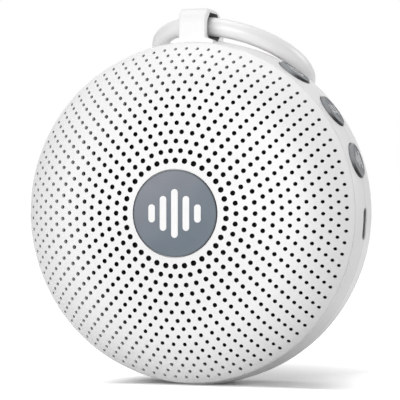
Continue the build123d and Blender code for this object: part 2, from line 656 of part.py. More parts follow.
with BuildPart() as strap_loop:
    with BuildSketch(front_plane(-LOOP_FRONT)):
        with BuildLine():
            Polyline(
                FLARE_HIGH,
                (LOOP_WIDTH / 2, LOOP_TOP),
                (-LOOP_WIDTH / 2, LOOP_TOP),
                (-FLARE_HIGH[0], FLARE_HIGH[1]),
            )
            RadiusArc((-FLARE_HIGH[0], FLARE_HIGH[1]), (-FLARE_LOW[0], FLARE_LOW[1]), -FLARE_BEND)
            Polyline(
                (-FLARE_LOW[0], FLARE_LOW[1]),
                (-FLARE_LOW[0], BACK_FLAT_R),
                (FLARE_LOW[0], BACK_FLAT_R),
                FLARE_LOW,
            )
            RadiusArc(FLARE_LOW, FLARE_HIGH, -FLARE_BEND)
        make_face()
    extrude(amount=-(LOOP_FRONT + LOOP_BACK))
    with BuildSketch(SECTION):
        with BuildLine():
            foot_end = (LOOP_BACK - FIT, back_radius(LOOP_BACK - FIT, WALL))
            Polyline(
                (BACK_TURN, BODY_R - FOOT_INSET),
                (-LOOP_FRONT, BODY_R - FOOT_INSET),
                (-LOOP_FRONT, LOOP_TOP - LOOP_ROUND),
            )
            RadiusArc(
                (-LOOP_FRONT, LOOP_TOP - LOOP_ROUND), (-LOOP_FRONT + LOOP_ROUND, LOOP_TOP), LOOP_ROUND
            )
            Line((-LOOP_FRONT + LOOP_ROUND, LOOP_TOP), (LOOP_CREST, LOOP_TOP))
            RadiusArc((LOOP_CREST, LOOP_TOP), (LOOP_BACK_TOP, LOOP_TOP - LOOP_BACK_DROP), LOOP_BACK_BEND)
            Polyline(
                (LOOP_BACK_TOP, LOOP_TOP - LOOP_BACK_DROP),
                (LOOP_BACK - FIT, back_radius(LOOP_BACK - FIT) + WALL),
                foot_end,
                (BACK_TURN, BODY_R - FOOT_INSET),
            )
        make_face()
    extrude(amount=2 * FOOT_HALF, both=True, mode=Mode.INTERSECT)
    fillet(
        strap_loop.edges().filter_by(lambda edge: edge.center().Z > AXIS_Z + FLARE_HIGH[1] + FIT
                                     and abs(abs(edge.center().X) - LOOP_WIDTH / 2) < FIT),
        radius=LOOP_SOFT,
    )
    add(loop_flange.part)
    add(tunnel.part, mode=Mode.SUBTRACT)
finish(strap_loop, "strap_loop")

# ---- hanging ring and its gate --------------------------------------------------------------------
TURN, ROLL = radians(RING_TURN), radians(RING_ROLL)
LOOP_POINT = Vector(0, RING_DEPTH, AXIS_Z + BODY_R + RING_RISE)
ALONG_TUBE = Vector(cos(TURN) * cos(ROLL), -sin(TURN) * cos(ROLL), -sin(ROLL))
LEVEL = Vector(sin(TURN), cos(TURN), 0)
UP = ALONG_TUBE.cross(LEVEL)


def rest_gap(lean):
    """Smallest distance between the ring's tube at a slope and the rear shell."""
    to_centre = LEVEL * cos(lean) - UP * sin(lean)
    gaps = []
    for turn in range(360):
        across, along = cos(radians(turn)), 1 + sin(radians(turn))
        point = LOOP_POINT + (ALONG_TUBE * across + to_centre * along) * RING_R
        past_turn = max(point.Y - BACK_TURN, 0)
        past_flat = max(hypot(point.X, point.Z - AXIS_Z) - BACK_FLAT_R, 0)
        gaps.append(hypot(past_turn, past_flat) - BACK_ROUND - TUBE_R)
    return min(gaps)


def resting_lean():
    """Slope at which the ring comes to rest just clear of the rear shell."""
    clear, touching = radians(RING_LEANS[0]), radians(RING_LEANS[1])
    while touching - clear > 1e-9:
        middle = (clear + touching) / 2
        if rest_gap(middle) > RING_REST_GAP:
            clear = middle
        else:
            touching = middle
    return clear


LEAN = resting_lean()
TO_CENTRE = LEVEL * cos(LEAN) - UP * sin(LEAN)
RING_PLANE = Plane(origin=LOOP_POINT, x_dir=ALONG_TUBE, z_dir=ALONG_TUBE.cross(TO_CENTRE))
HINGE_ANGLE = 90 + GATE_HALF
NOSE_ANGLE = 90 - GATE_HALF


def on_ring(angle):
    """Point on the ring's centreline, in the ring's plane."""
    return (RING_R * cos(radians(angle)), RING_R + RING_R * sin(radians(angle)))


HINGE = on_ring(HINGE_ANGLE)
NOSE = on_ring(NOSE_ANGLE)
SHOULDER_R = TUBE_R + 2 * GAP


def hinge_plane(height):
    """Plane across the gate's pin at a height above the ring's plane."""
    return Plane(
        origin=RING_PLANE.from_local_coords(Vector(HINGE[0], HINGE[1], height)),
        x_dir=RING_PLANE.x_dir,
        z_dir=RING_PLANE.z_dir,
    )


def nose_plane(gap):
    """Plane of the joint at the gate's nose, facing the ring's fixed end and moved towards it."""
    tilt = radians(NOSE_TILT)
    normal = RING_PLANE.x_dir * cos(tilt) + RING_PLANE.y_dir * sin(tilt)
    origin = RING_PLANE.from_local_coords(Vector(NOSE[0], NOSE[1], 0)) + normal * gap
    return Plane(origin=origin, x_dir=RING_PLANE.z_dir, z_dir=normal)


def tube_arc(start, size):
    """Solid stretch of the ring's tube between two angles."""
    with BuildPart() as stretch:
        with BuildLine(RING_PLANE) as path:
            CenterArc((0, RING_R), RING_R, start, size)
        with BuildSketch(path.line ^ 0):
            Circle(TUBE_R)
        sweep(path=path.line)
    return stretch.part


with BuildPart() as hanging_ring:
    add(tube_arc(HINGE_ANGLE, 360 - 2 * GATE_HALF + NOSE_OVERRUN))
    with Locations(hinge_plane(0)):
        Sphere(TUBE_R)
    with BuildSketch(hinge_plane(-TONGUE_HALF - CHEEK_GAP)):
        Circle(SHOULDER_R)
    extrude(amount=2 * (TONGUE_HALF + CHEEK_GAP), mode=Mode.SUBTRACT)
    with BuildSketch(hinge_plane(-TUBE_R)):
        Circle(PIN_R)
    extrude(amount=2 * TUBE_R, mode=Mode.SUBTRACT)
    with BuildSketch(nose_plane(NOSE_GAP)):
        Rectangle(6 * TUBE_R, 6 * TUBE_R)
    extrude(amount=-3 * TUBE_R, mode=Mode.SUBTRACT)
finish(hanging_ring, "hanging_ring")

with BuildPart() as ring_gate:
    add(tube_arc(NOSE_ANGLE - NOSE_OVERRUN, 2 * GATE_HALF + NOSE_OVERRUN))
    with Locations(hinge_plane(0)):
        Sphere(TUBE_R)
    for side in (TONGUE_HALF, -TONGUE_HALF):
        with BuildSketch(hinge_plane(side)):
            Circle(SHOULDER_R)
        extrude(amount=2 * TUBE_R if side > 0 else -2 * TUBE_R, mode=Mode.SUBTRACT)
    with BuildSketch(hinge_plane(-TUBE_R)):
        Circle(PIN_R + RUNNING_GAP)
    extrude(amount=2 * TUBE_R, mode=Mode.SUBTRACT)
    with BuildSketch(nose_plane(0)):
        Rectangle(6 * TUBE_R, 6 * TUBE_R)
    extrude(amount=3 * TUBE_R, mode=Mode.SUBTRACT)
finish(ring_gate, "ring_gate")

with BuildPart() as gate_pin:
    with BuildSketch(hinge_plane(-PIN_LENGTH / 2)):
        Circle(PIN_R)
    extrude(amount=PIN_LENGTH)
finish(gate_pin, "gate_pin")

# ---- buttons and their stems ----------------------------------------------------------------------
FLANGE_LOW_R = FLANGE_TOP_R - FLANGE_THICK

for name, angle in BUTTON_ANGLES.items():
    with BuildPart() as button:
        with BuildSketch(rim_plane(angle, FLANGE_LOW_R)):
            Circle(FLANGE_R)
        extrude(amount=FLANGE_THICK)
        with BuildSketch(rim_plane(angle, FLANGE_TOP_R)):
            Circle(BUTTON_R)
        extrude(amount=BODY_R + BUTTON_PROUD - FLANGE_TOP_R)
        fillet(button.edges().sort_by(Axis((0, 0, AXIS_Z), outward(angle)))[-1], radius=CAP_ROUND)
        with BuildSketch(rim_plane(angle, STEM_TOP_R)):
            Circle(PLUNGER_R)
        extrude(amount=FLANGE_LOW_R - STEM_TOP_R)
    finish(button, f"{name}_button")
    with BuildPart() as stem:
        with BuildSketch(rim_plane(angle, SWITCH_TOP_R - STEM_BELOW)):
            Circle(STEM_R)
        extrude(amount=STEM_BELOW + STEM_ABOVE)
    finish(stem, f"{name}_stem")

# ---- switches, their flexible circuit and the bracket beneath -------------------------------------
FLEX_R = SWITCH_BASE_R - FLEX
BRACKET_R = CARRIER_R + RUNNING_GAP
CONNECTOR_WIDTH, CONNECTOR_DEPTH, CONNECTOR_HEIGHT = CONNECTOR
CONNECTOR_OUT_R = BOARD_R - CONNECTOR_INSET
CONNECTOR_R = CONNECTOR_OUT_R - CONNECTOR_HEIGHT / 2
STRIP_DEPTH = BOARD_DEPTH - CONNECTOR_DEPTH / 2

with BuildPart() as tact_switches:
    for angle in BUTTON_ANGLES.values():
        with BuildSketch(rim_plane(angle, SWITCH_BASE_R)):
            Rectangle(SWITCH_SIZE, SWITCH_SIZE)
        extrude(amount=SWITCH_HEIGHT)
        with BuildSketch(rim_plane(angle, SWITCH_BASE_R + SWITCH_FLOOR)):
            Circle(SWITCH_BORE)
        extrude(amount=SWITCH_HEIGHT, mode=Mode.SUBTRACT)
finish(tact_switches, "tact_switches")

with BuildPart() as button_flex:
    for angle in BUTTON_ANGLES.values():
        with BuildSketch(rim_plane(angle, FLEX_R)):
            Rectangle(FLEX_LENGTH, FLEX_WIDTH)
        extrude(amount=FLEX)
    with BuildSketch(rim_section(BUTTON_ANGLES["middle"])):
        with BuildLine():
            Polyline(
                (0, FLEX_R),
                (0, SWITCH_BASE_R),
                (STRIP_DEPTH, SWITCH_BASE_R),
                (STRIP_DEPTH, CONNECTOR_OUT_R),
                (STRIP_DEPTH - FLEX, CONNECTOR_OUT_R),
                (STRIP_DEPTH - FLEX, FLEX_R),
                (0, FLEX_R),
            )
        make_face()
    extrude(amount=RIBBON_WIDTH / 2, both=True)
finish(button_flex, "button_flex")

with BuildPart() as button_bracket:
    for angle in BUTTON_ANGLES.values():
        with BuildSketch(rim_plane(angle, BRACKET_R)):
            Rectangle(BRACKET_LENGTH, BRACKET_WIDTH)
        extrude(amount=FLEX_R - BRACKET_R)
finish(button_bracket, "button_bracket")

# ---- USB port: shell, tongue, board and ribbon ----------------------------------------------------
USB_ROOT_R = USB_MOUTH_R - USB_LENGTH
USB_BOARD_FRONT = USB_HEIGHT / 2
RIBBON_R = USB_BOARD_OUT_R - USB_BOARD_LENGTH + RIBBON_THICK + FIT

with BuildPart() as usb_shell:
    with BuildSketch(rim_plane(USB_ANGLE, USB_ROOT_R)):
        SlotOverall(USB_WIDTH, USB_HEIGHT)
        SlotOverall(USB_WIDTH - 2 * USB_WALL, USB_HEIGHT - 2 * USB_WALL, mode=Mode.SUBTRACT)
    extrude(amount=USB_LENGTH)
finish(usb_shell, "usb_shell")

with BuildPart() as usb_tongue:
    with BuildSketch(rim_plane(USB_ANGLE, USB_ROOT_R)):
        SlotOverall(USB_WIDTH - 2 * USB_WALL, USB_HEIGHT - 2 * USB_WALL)
    extrude(amount=TONGUE_ROOT)
    with BuildSketch(rim_plane(USB_ANGLE, USB_ROOT_R)):
        Rectangle(TONGUE_WIDTH, TONGUE_THICK)
    extrude(amount=USB_LENGTH - TONGUE_SINK)
finish(usb_tongue, "usb_tongue")

with BuildPart() as usb_board:
    with BuildSketch(front_plane(USB_BOARD_FRONT)):
        with PolarLocations(USB_BOARD_OUT_R - USB_BOARD_LENGTH / 2, 1, start_angle=USB_ANGLE):
            Rectangle(USB_BOARD_LENGTH, USB_BOARD_WIDTH)
    extrude(amount=-USB_BOARD)
finish(usb_board, "usb_board")

with BuildPart() as usb_ribbon:
    with BuildSketch(rim_section(USB_ANGLE)):
        with BuildLine():
            Polyline(
                (USB_BOARD_BACK, RIBBON_R - RIBBON_THICK),
                (USB_BOARD_BACK, RIBBON_R),
                (STRIP_DEPTH, RIBBON_R),
                (STRIP_DEPTH, CONNECTOR_OUT_R),
                (STRIP_DEPTH - RIBBON_THICK, CONNECTOR_OUT_R),
                (STRIP_DEPTH - RIBBON_THICK, RIBBON_R - RIBBON_THICK),
                (USB_BOARD_BACK, RIBBON_R - RIBBON_THICK),
            )
        make_face()
    extrude(amount=RIBBON_WIDTH / 2, both=True)
finish(usb_ribbon, "usb_ribbon")

# ---- main board and what sits on it ---------------------------------------------------------------
with BuildPart() as main_board:
    with BuildSketch(front_plane(BOARD_DEPTH)):
        Circle(BOARD_R)
        with Locations((0, BOARD_LOW)):
            Rectangle(2 * BODY_R, 2 * BODY_R, align=(Align.CENTER, Align.MAX), mode=Mode.SUBTRACT)
        with Locations(*SCREW_PLACES):
            Circle(BOSS_R + GAP, mode=Mode.SUBTRACT)
        with Locations(*BOARD_POST_PLACES):
            Circle(SMALL_SCREW_R + RUNNING_GAP, mode=Mode.SUBTRACT)
    extrude(amount=-BOARD)
finish(main_board, "main_board")

with BuildPart() as board_chips:
    for across, up, width, height, thick in CHIPS:
        with BuildSketch(front_plane(BOARD_DEPTH)):
            with Locations((across, up)):
                Rectangle(width, height)
        extrude(amount=thick)
finish(board_chips, "board_chips")

with BuildPart() as board_capacitors:
    with BuildSketch(front_plane(BOARD_DEPTH)):
        with Locations(*CAPACITOR_PLACES):
            Circle(CAPACITOR_R)
    extrude(amount=CAPACITOR_HEIGHT)
    chamfer(board_capacitors.edges().group_by(Axis.Y)[0], length=FIT)
finish(board_capacitors, "board_capacitors")

with BuildPart() as board_connectors:
    for angle in (BUTTON_ANGLES["middle"], USB_ANGLE, TERMINAL_ANGLE):
        with BuildSketch(front_plane(BOARD_DEPTH)):
            with PolarLocations(CONNECTOR_R, 1, start_angle=angle):
                Rectangle(CONNECTOR_HEIGHT, CONNECTOR_WIDTH)
        extrude(amount=CONNECTOR_DEPTH)
    with BuildSketch(front_plane(BOARD_DEPTH)):
        with Locations((BATTERY_LEAD_X, BOARD_LOW + CONNECTOR_INSET + CONNECTOR_HEIGHT / 2)):
            Rectangle(CONNECTOR_WIDTH, CONNECTOR_HEIGHT)
    extrude(amount=CONNECTOR_DEPTH)
finish(board_connectors, "board_connectors")

with BuildPart() as board_screws:
    with BuildSketch(front_plane(BOARD_DEPTH)):
        with Locations(*BOARD_POST_PLACES):
            Circle(SMALL_HEAD_R)
    extrude(amount=SMALL_HEAD)
    with BuildSketch(front_plane(BOARD_DEPTH)):
        with Locations(*BOARD_POST_PLACES):
            Circle(SMALL_SCREW_R)
    extrude(amount=-SMALL_LENGTH)
finish(board_screws, "board_screws")

# ---- battery pack, foam pad and leads -------------------------------------------------------------
with BuildPart() as battery_pack:
    with BuildSketch(front_plane(BATTERY_BACK)):
        with Locations((0, (BATTERY_LOW + BATTERY_TOP) / 2)):
            RectangleRounded(BATTERY_WIDTH, BATTERY_HEIGHT, radius=BATTERY_ROUND)
    extrude(amount=BATTERY_THICK)
    fillet(battery_pack.edges().group_by(Axis.Y)[0], radius=GAP)
finish(battery_pack, "battery_pack")

with BuildPart() as battery_foam:
    with BuildSketch(front_plane(INNER_BACK)):
        with Locations((0, (BATTERY_LOW + BATTERY_TOP) / 2)):
            Rectangle(BATTERY_WIDTH - 2 * BATTERY_ROUND, BATTERY_HEIGHT - 2 * BATTERY_ROUND)
    extrude(amount=BATTERY_FOAM)
finish(battery_foam, "battery_foam")


def lead(plane, points):
    """Round wire through points in a plane, leaving and arriving along its second axis."""
    places = [plane.from_local_coords(Vector(*point)) for point in points]
    with BuildPart() as wire:
        with BuildLine() as path:
            Spline(*places, tangents=(plane.y_dir, plane.y_dir))
        with BuildSketch(path.line ^ 0):
            Circle(LEAD_R)
        sweep(path=path.line)
    return wire.part


def lead_plane(plane, side):
    """The plane moved sideways to the place of one wire of a pair."""
    return plane.offset(side * LEAD_SPACING / 2)


BATTERY_LEAD_PLANE = SECTION.offset(BATTERY_LEAD_X)
BATTERY_LEAD_POINTS = (
    (BATTERY_BACK - BATTERY_THICK + LEAD_R + 2 * GAP, BATTERY_TOP),
    (STRIP_DEPTH, BOARD_LOW + CONNECTOR_INSET),
)
with BuildPart() as battery_leads:
    for side in (-1, 1):
        add(lead(lead_plane(BATTERY_LEAD_PLANE, side), BATTERY_LEAD_POINTS))
finish(battery_leads, "battery_leads")

EAR_PLACES = ring_places(EAR_RING_R, SPEAKER_SCREW_COUNT, SPEAKER_SCREW_START)

# ---- speaker carrier, clamped between the shells ---------------------------------------------------
CARRIER_WEB_LENGTH = SCREW_RING_R - CARRIER_R + CARRIER_WALL
CARRIER_WEB_MID_R = SCREW_RING_R - CARRIER_WEB_LENGTH / 2

with BuildPart() as speaker_carrier:
    with BuildSketch(front_plane(CARRIER_EAR)):
        Circle(CARRIER_R)
        Circle(CARRIER_R - CARRIER_WALL, mode=Mode.SUBTRACT)
    extrude(amount=SEAT_DEPTH + CARRIER_EAR)
    with BuildSketch(front_plane(-SEAT_DEPTH + CARRIER_WALL)):
        Circle(CARRIER_R)
        Circle(OPENING_R, mode=Mode.SUBTRACT)
    extrude(amount=CARRIER_WALL)
    with BuildSketch(front_plane(CARRIER_EAR)):
        with Locations(*SCREW_PLACES):
            Circle(LUG_R)
        with PolarLocations(CARRIER_WEB_MID_R, SCREW_COUNT, SCREW_START):
            Rectangle(CARRIER_WEB_LENGTH, 2 * LUG_R)
        Circle(CARRIER_R - CARRIER_WALL, mode=Mode.SUBTRACT)
        with Locations(*SCREW_PLACES):
            Circle(SCREW_R + GAP, mode=Mode.SUBTRACT)
    extrude(amount=CARRIER_EAR)
    with BuildSketch(front_plane(-SEAT_DEPTH)):
        with Locations(*EAR_PLACES):
            Circle(SMALL_SCREW_R)
    extrude(amount=-CARRIER_WALL, mode=Mode.SUBTRACT)
finish(speaker_carrier, "speaker_carrier")

# ---- loudspeaker ----------------------------------------------------------------------------------
BASKET_FOOT_R = MAGNET_R
BASKET_TOP_R = OPENING_R - GAP
WINDOW_OUT_R = BASKET_TOP_R - 2 * BASKET_WALL
WINDOW_IN_R = BASKET_FOOT_R + BASKET_WALL
SEAT_R = BASKET_TOP_R - BASKET_WALL
CONE_R = SEAT_R - 2 * SURROUND_R
FORMER_R = COIL_R + FORMER_THICK
NECK_DEPTH = TOP_PLATE_FRONT - NECK_RISE
SPIDER_DEPTH = TOP_PLATE_FRONT - BASKET_WALL

with BuildPart() as speaker_basket:
    with BuildSketch(SECTION):
        with BuildLine():
            Polyline(
                (FRAME_FRONT, SEAT_R),
                (FRAME_FRONT, FRAME_R),
                (-SEAT_DEPTH, FRAME_R),
                (-SEAT_DEPTH, BASKET_TOP_R),
                (SPIDER_DEPTH, BASKET_FOOT_R),
                (TOP_PLATE_FRONT, BASKET_FOOT_R),
                (TOP_PLATE_FRONT, BASKET_BORE_R),
                (SPIDER_DEPTH, BASKET_BORE_R),
                (SPIDER_DEPTH, BASKET_FOOT_R - BASKET_WALL),
                (-SEAT_DEPTH, SEAT_R),
                (FRAME_FRONT, SEAT_R),
            )
        make_face()
    revolve(axis=BODY_AXIS)
    with BuildSketch(front_plane(-SEAT_DEPTH)):
        with Locations(*EAR_PLACES):
            Circle(EAR_R)
        with PolarLocations(EAR_RING_R - EAR_R, SPEAKER_SCREW_COUNT, SPEAKER_SCREW_START):
            Rectangle(2 * EAR_R, 2 * EAR_R)
        Circle(SEAT_R + BASKET_WALL, mode=Mode.SUBTRACT)
        with Locations(*EAR_PLACES):
            Circle(SMALL_SCREW_R + RUNNING_GAP, mode=Mode.SUBTRACT)
    extrude(amount=FRAME_THICK)
    with BuildSketch(front_plane(SPIDER_DEPTH)):
        Circle(WINDOW_OUT_R)
        Circle(WINDOW_IN_R, mode=Mode.SUBTRACT)
        with PolarLocations(WINDOW_OUT_R / 2, BASKET_WINDOWS, SPEAKER_SCREW_START):
            Rectangle(WINDOW_OUT_R, SPOKE_WIDTH, mode=Mode.SUBTRACT)
    extrude(amount=SEAT_DEPTH + SPIDER_DEPTH, mode=Mode.SUBTRACT)
finish(speaker_basket, "speaker_basket")


def disc_with_bore(radius, bore, front, back):
    """Flat ring or disc about the body axis between two depths."""
    with BuildPart() as disc:
        with BuildSketch(front_plane(back)):
            Circle(radius)
            if bore:
                Circle(bore, mode=Mode.SUBTRACT)
        extrude(amount=back - front)
    return disc


top_plate = disc_with_bore(MAGNET_R, PLATE_BORE_R, TOP_PLATE_FRONT, TOP_PLATE_BACK)
finish(top_plate, "speaker_top_plate")
magnet = disc_with_bore(MAGNET_R, MAGNET_BORE, TOP_PLATE_BACK, YOKE_FRONT)
finish(magnet, "speaker_magnet")
gasket = disc_with_bore(FRAME_R, FRAME_R - GASKET_WIDTH, FRAME_FRONT - GASKET_THICK, FRAME_FRONT)
finish(gasket, "speaker_gasket")

with BuildPart() as speaker_yoke:
    with BuildSketch(front_plane(YOKE_BACK_DEPTH)):
        Circle(MAGNET_R)
    extrude(amount=PLATE_THICK)
    with BuildSketch(front_plane(YOKE_FRONT)):
        Circle(POLE_R)
    extrude(amount=YOKE_FRONT - TOP_PLATE_FRONT)
    chamfer(speaker_yoke.edges().group_by(Axis.Y)[-1], length=CAP_ROUND)
finish(speaker_yoke, "speaker_yoke")

with BuildPart() as speaker_voice_coil:
    with BuildSketch(front_plane(TOP_PLATE_BACK + COIL_BELOW)):
        Circle(FORMER_R)
        Circle(COIL_R, mode=Mode.SUBTRACT)
    extrude(amount=TOP_PLATE_BACK + COIL_BELOW - NECK_DEPTH)
    with BuildSketch(front_plane((TOP_PLATE_FRONT + TOP_PLATE_BACK + COIL_HEIGHT) / 2)):
        Circle(FORMER_R + COIL_THICK)
        Circle(COIL_R, mode=Mode.SUBTRACT)
    extrude(amount=COIL_HEIGHT)
finish(speaker_voice_coil, "speaker_voice_coil")

CONE_TOP_R = CONE_R - 2 * CONE_THICK


def cone_depth(radius):
    """Depth of the cone's front face at a radius."""
    share = (radius - FORMER_R) / (CONE_TOP_R - FORMER_R)
    return NECK_DEPTH + (FRAME_FRONT - NECK_DEPTH) * share


with BuildPart() as speaker_cone:
    with BuildSketch(SECTION):
        with BuildLine():
            Polyline(
                (NECK_DEPTH, FORMER_R),
                (FRAME_FRONT, CONE_TOP_R),
                (FRAME_FRONT, CONE_R),
                (NECK_DEPTH + CONE_THICK, FORMER_R),
                (NECK_DEPTH, FORMER_R),
            )
        make_face()
    revolve(axis=BODY_AXIS)
finish(speaker_cone, "speaker_cone")

CAP_IN_R = DUST_CAP_R - CONE_THICK
CAP_CREST = cone_depth(DUST_CAP_R) - DUST_CAP_RISE


def cap_bend(radius, crest):
    """Radius of the arc that rises level from a crest on the axis and ends on the cone."""
    rise = cone_depth(radius) - crest
    return (radius**2 + rise**2) / (2 * rise)


with BuildPart() as speaker_dust_cap:
    with BuildSketch(SECTION):
        with BuildLine():
            cap_edge = (cone_depth(DUST_CAP_R), DUST_CAP_R)
            RadiusArc((CAP_CREST, 0), cap_edge, cap_bend(DUST_CAP_R, CAP_CREST))
            Line(cap_edge, (cone_depth(CAP_IN_R), CAP_IN_R))
            cap_inside = CAP_CREST + CONE_THICK
            RadiusArc((cone_depth(CAP_IN_R), CAP_IN_R), (cap_inside, 0), -cap_bend(CAP_IN_R, cap_inside))
            Line((cap_inside, 0), (CAP_CREST, 0))
        make_face()
    revolve(axis=BODY_AXIS)
finish(speaker_dust_cap, "speaker_dust_cap")

with BuildPart() as speaker_surround:
    with BuildSketch(SECTION):
        with BuildLine():
            foot_front = FRAME_FRONT - SURROUND_THICK
            foot_in, foot_out = CONE_R - BASKET_WALL, SEAT_R + BASKET_WALL
            roll_mid = (CONE_R + SEAT_R) / 2
            Polyline((FRAME_FRONT, foot_in), (foot_front, foot_in), (foot_front, CONE_R))
            ThreePointArc((foot_front, CONE_R), (foot_front - SURROUND_R, roll_mid), (foot_front, SEAT_R))
            Polyline(
                (foot_front, SEAT_R),
                (foot_front, foot_out),
                (FRAME_FRONT, foot_out),
                (FRAME_FRONT, SEAT_R - SURROUND_THICK),
            )
            ThreePointArc(
                (FRAME_FRONT, SEAT_R - SURROUND_THICK),
                (FRAME_FRONT - SURROUND_R, roll_mid),
                (FRAME_FRONT, CONE_R + SURROUND_THICK),
            )
            Line((FRAME_FRONT, CONE_R + SURROUND_THICK), (FRAME_FRONT, foot_in))
        make_face()
    revolve(axis=BODY_AXIS)
finish(speaker_surround, "speaker_surround")

SPIDER_OUT_R = BASKET_FOOT_R - BASKET_WALL
SPIDER_STEPS = 2 * SPIDER_WAVES + 1
SPIDER_PITCH = (BASKET_BORE_R - FORMER_R) / SPIDER_STEPS
spider_back = [
    (SPIDER_DEPTH - SPIDER_WAVE * (step % 2), FORMER_R + step * SPIDER_PITCH)
    for step in range(SPIDER_STEPS)
] + [(SPIDER_DEPTH, BASKET_BORE_R), (SPIDER_DEPTH, SPIDER_OUT_R)]
spider_front = [(depth - SPIDER_THICK, radius) for depth, radius in reversed(spider_back)]

with BuildPart() as speaker_spider:
    with BuildSketch(SECTION):
        with BuildLine():
            Polyline(*spider_back, *spider_front, close=True)
        make_face()
    revolve(axis=BODY_AXIS)
finish(speaker_spider, "speaker_spider")

# ---- terminals, leads and screws ------------------------------------------------------------------
TERMINAL_DEPTH = (TOP_PLATE_FRONT + TOP_PLATE_BACK) / 2
TERMINAL_R = MAGNET_R + TERMINAL_REACH

with BuildPart() as speaker_terminals:
    with BuildSketch(front_plane(TERMINAL_DEPTH + TERMINAL_THICK / 2)):
        with PolarLocations(MAGNET_R + TERMINAL_REACH / 2, 1, start_angle=TERMINAL_ANGLE):
            Rectangle(TERMINAL_REACH, TERMINAL_WIDTH)
    extrude(amount=TERMINAL_THICK)
finish(speaker_terminals, "speaker_terminals")

SPEAKER_LEAD_PLANE = rim_section(TERMINAL_ANGLE)
SPEAKER_LEAD_POINTS = (
    (TERMINAL_DEPTH, TERMINAL_R),
    (STRIP_DEPTH, CONNECTOR_OUT_R - CONNECTOR_HEIGHT),
)
with BuildPart() as speaker_leads:
    for side in (-1, 1):
        add(lead(lead_plane(SPEAKER_LEAD_PLANE, side), SPEAKER_LEAD_POINTS))
finish(speaker_leads, "speaker_leads")

with BuildPart() as speaker_screws:
    with BuildSketch(front_plane(FRAME_FRONT)):
        with Locations(*EAR_PLACES):
            Circle(SMALL_HEAD_R)
    extrude(amount=SMALL_HEAD)
    with BuildSketch(front_plane(FRAME_FRONT)):
        with Locations(*EAR_PLACES):
            Circle(SMALL_SCREW_R)
    extrude(amount=-SMALL_LENGTH)
finish(speaker_screws, "speaker_screws")

with BuildPart() as housing_screws:
    with BuildSketch(front_plane(SCREW_SEAT + SCREW_HEAD)):
        with Locations(*SCREW_PLACES):
            Circle(SCREW_HEAD_R)
    extrude(amount=SCREW_HEAD)
    with BuildSketch(front_plane(SCREW_SEAT)):
        with Locations(*SCREW_PLACES):
            Circle(SCREW_R)
    extrude(amount=SCREW_SEAT + SCREW_REACH)
    with BuildSketch(front_plane(SCREW_SEAT + SCREW_HEAD)):
        with Locations(*SCREW_PLACES):
            RegularPolygon(DRIVE_R, 6)
    extrude(amount=DRIVE_DEPTH, mode=Mode.SUBTRACT)
finish(housing_screws, "housing_screws")
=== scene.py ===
"""Finishes, fine details, light and camera for a round portable sound machine.

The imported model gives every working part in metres. This script dresses each of its nodes, models the
pieces that need a finer surface, and sets up a plain studio round the object.
"""

import logging
import math
from collections.abc import Callable
from dataclasses import dataclass, field
from enum import Enum

import bmesh
import bpy
from mathutils import Matrix, Vector

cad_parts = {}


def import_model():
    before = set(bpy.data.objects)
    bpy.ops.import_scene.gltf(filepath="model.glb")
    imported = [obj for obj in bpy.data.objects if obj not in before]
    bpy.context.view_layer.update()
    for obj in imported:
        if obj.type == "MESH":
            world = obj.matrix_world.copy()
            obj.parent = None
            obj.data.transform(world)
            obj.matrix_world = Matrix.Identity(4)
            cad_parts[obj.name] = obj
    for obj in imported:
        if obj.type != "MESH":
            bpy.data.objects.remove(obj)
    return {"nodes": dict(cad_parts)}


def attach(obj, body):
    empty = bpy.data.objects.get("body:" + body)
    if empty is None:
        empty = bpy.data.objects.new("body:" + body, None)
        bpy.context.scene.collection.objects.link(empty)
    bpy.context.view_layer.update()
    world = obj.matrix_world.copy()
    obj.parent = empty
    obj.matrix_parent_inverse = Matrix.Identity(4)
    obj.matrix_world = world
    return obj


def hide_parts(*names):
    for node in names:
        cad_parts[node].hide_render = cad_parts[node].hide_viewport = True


LOG = logging.getLogger("sound_machine")
MM = 0.001
AXIS_Z = 48.744
BODY_AXIS = (0.0, 0.0, AXIS_Z)
TO_BACK = (0.0, 1.0, 0.0)
WAVE_PERIOD = 0.314  # distance between the bands of a wave texture at scale one
PATCH_RANGE = (0.25, 0.75)  # values of the patch noise at the lowest and the highest roughness
UPRIGHT = 0.9  # least upward part of the normal of a face that looks up
SAME = 0.01  # millimetres within which two heights are the same

Socket = bpy.types.NodeSocket
Point = tuple[float, float, float]


def outward(angle: float) -> Vector:
    """Direction from the body axis at an angle above +X.

    Args:
        angle: The angle in degrees.

    Returns:
        The unit vector.
    """
    return Vector((math.cos(math.radians(angle)), 0.0, math.sin(math.radians(angle))))


class Grain(Enum):
    """How the surface of a finish is structured."""

    MOULDED = "moulded"
    SOFT = "soft"
    BRUSHED = "brushed"
    CAST = "cast"
    WOVEN = "woven"
    FOAM = "foam"
    MASK = "mask"
    PAPER = "paper"


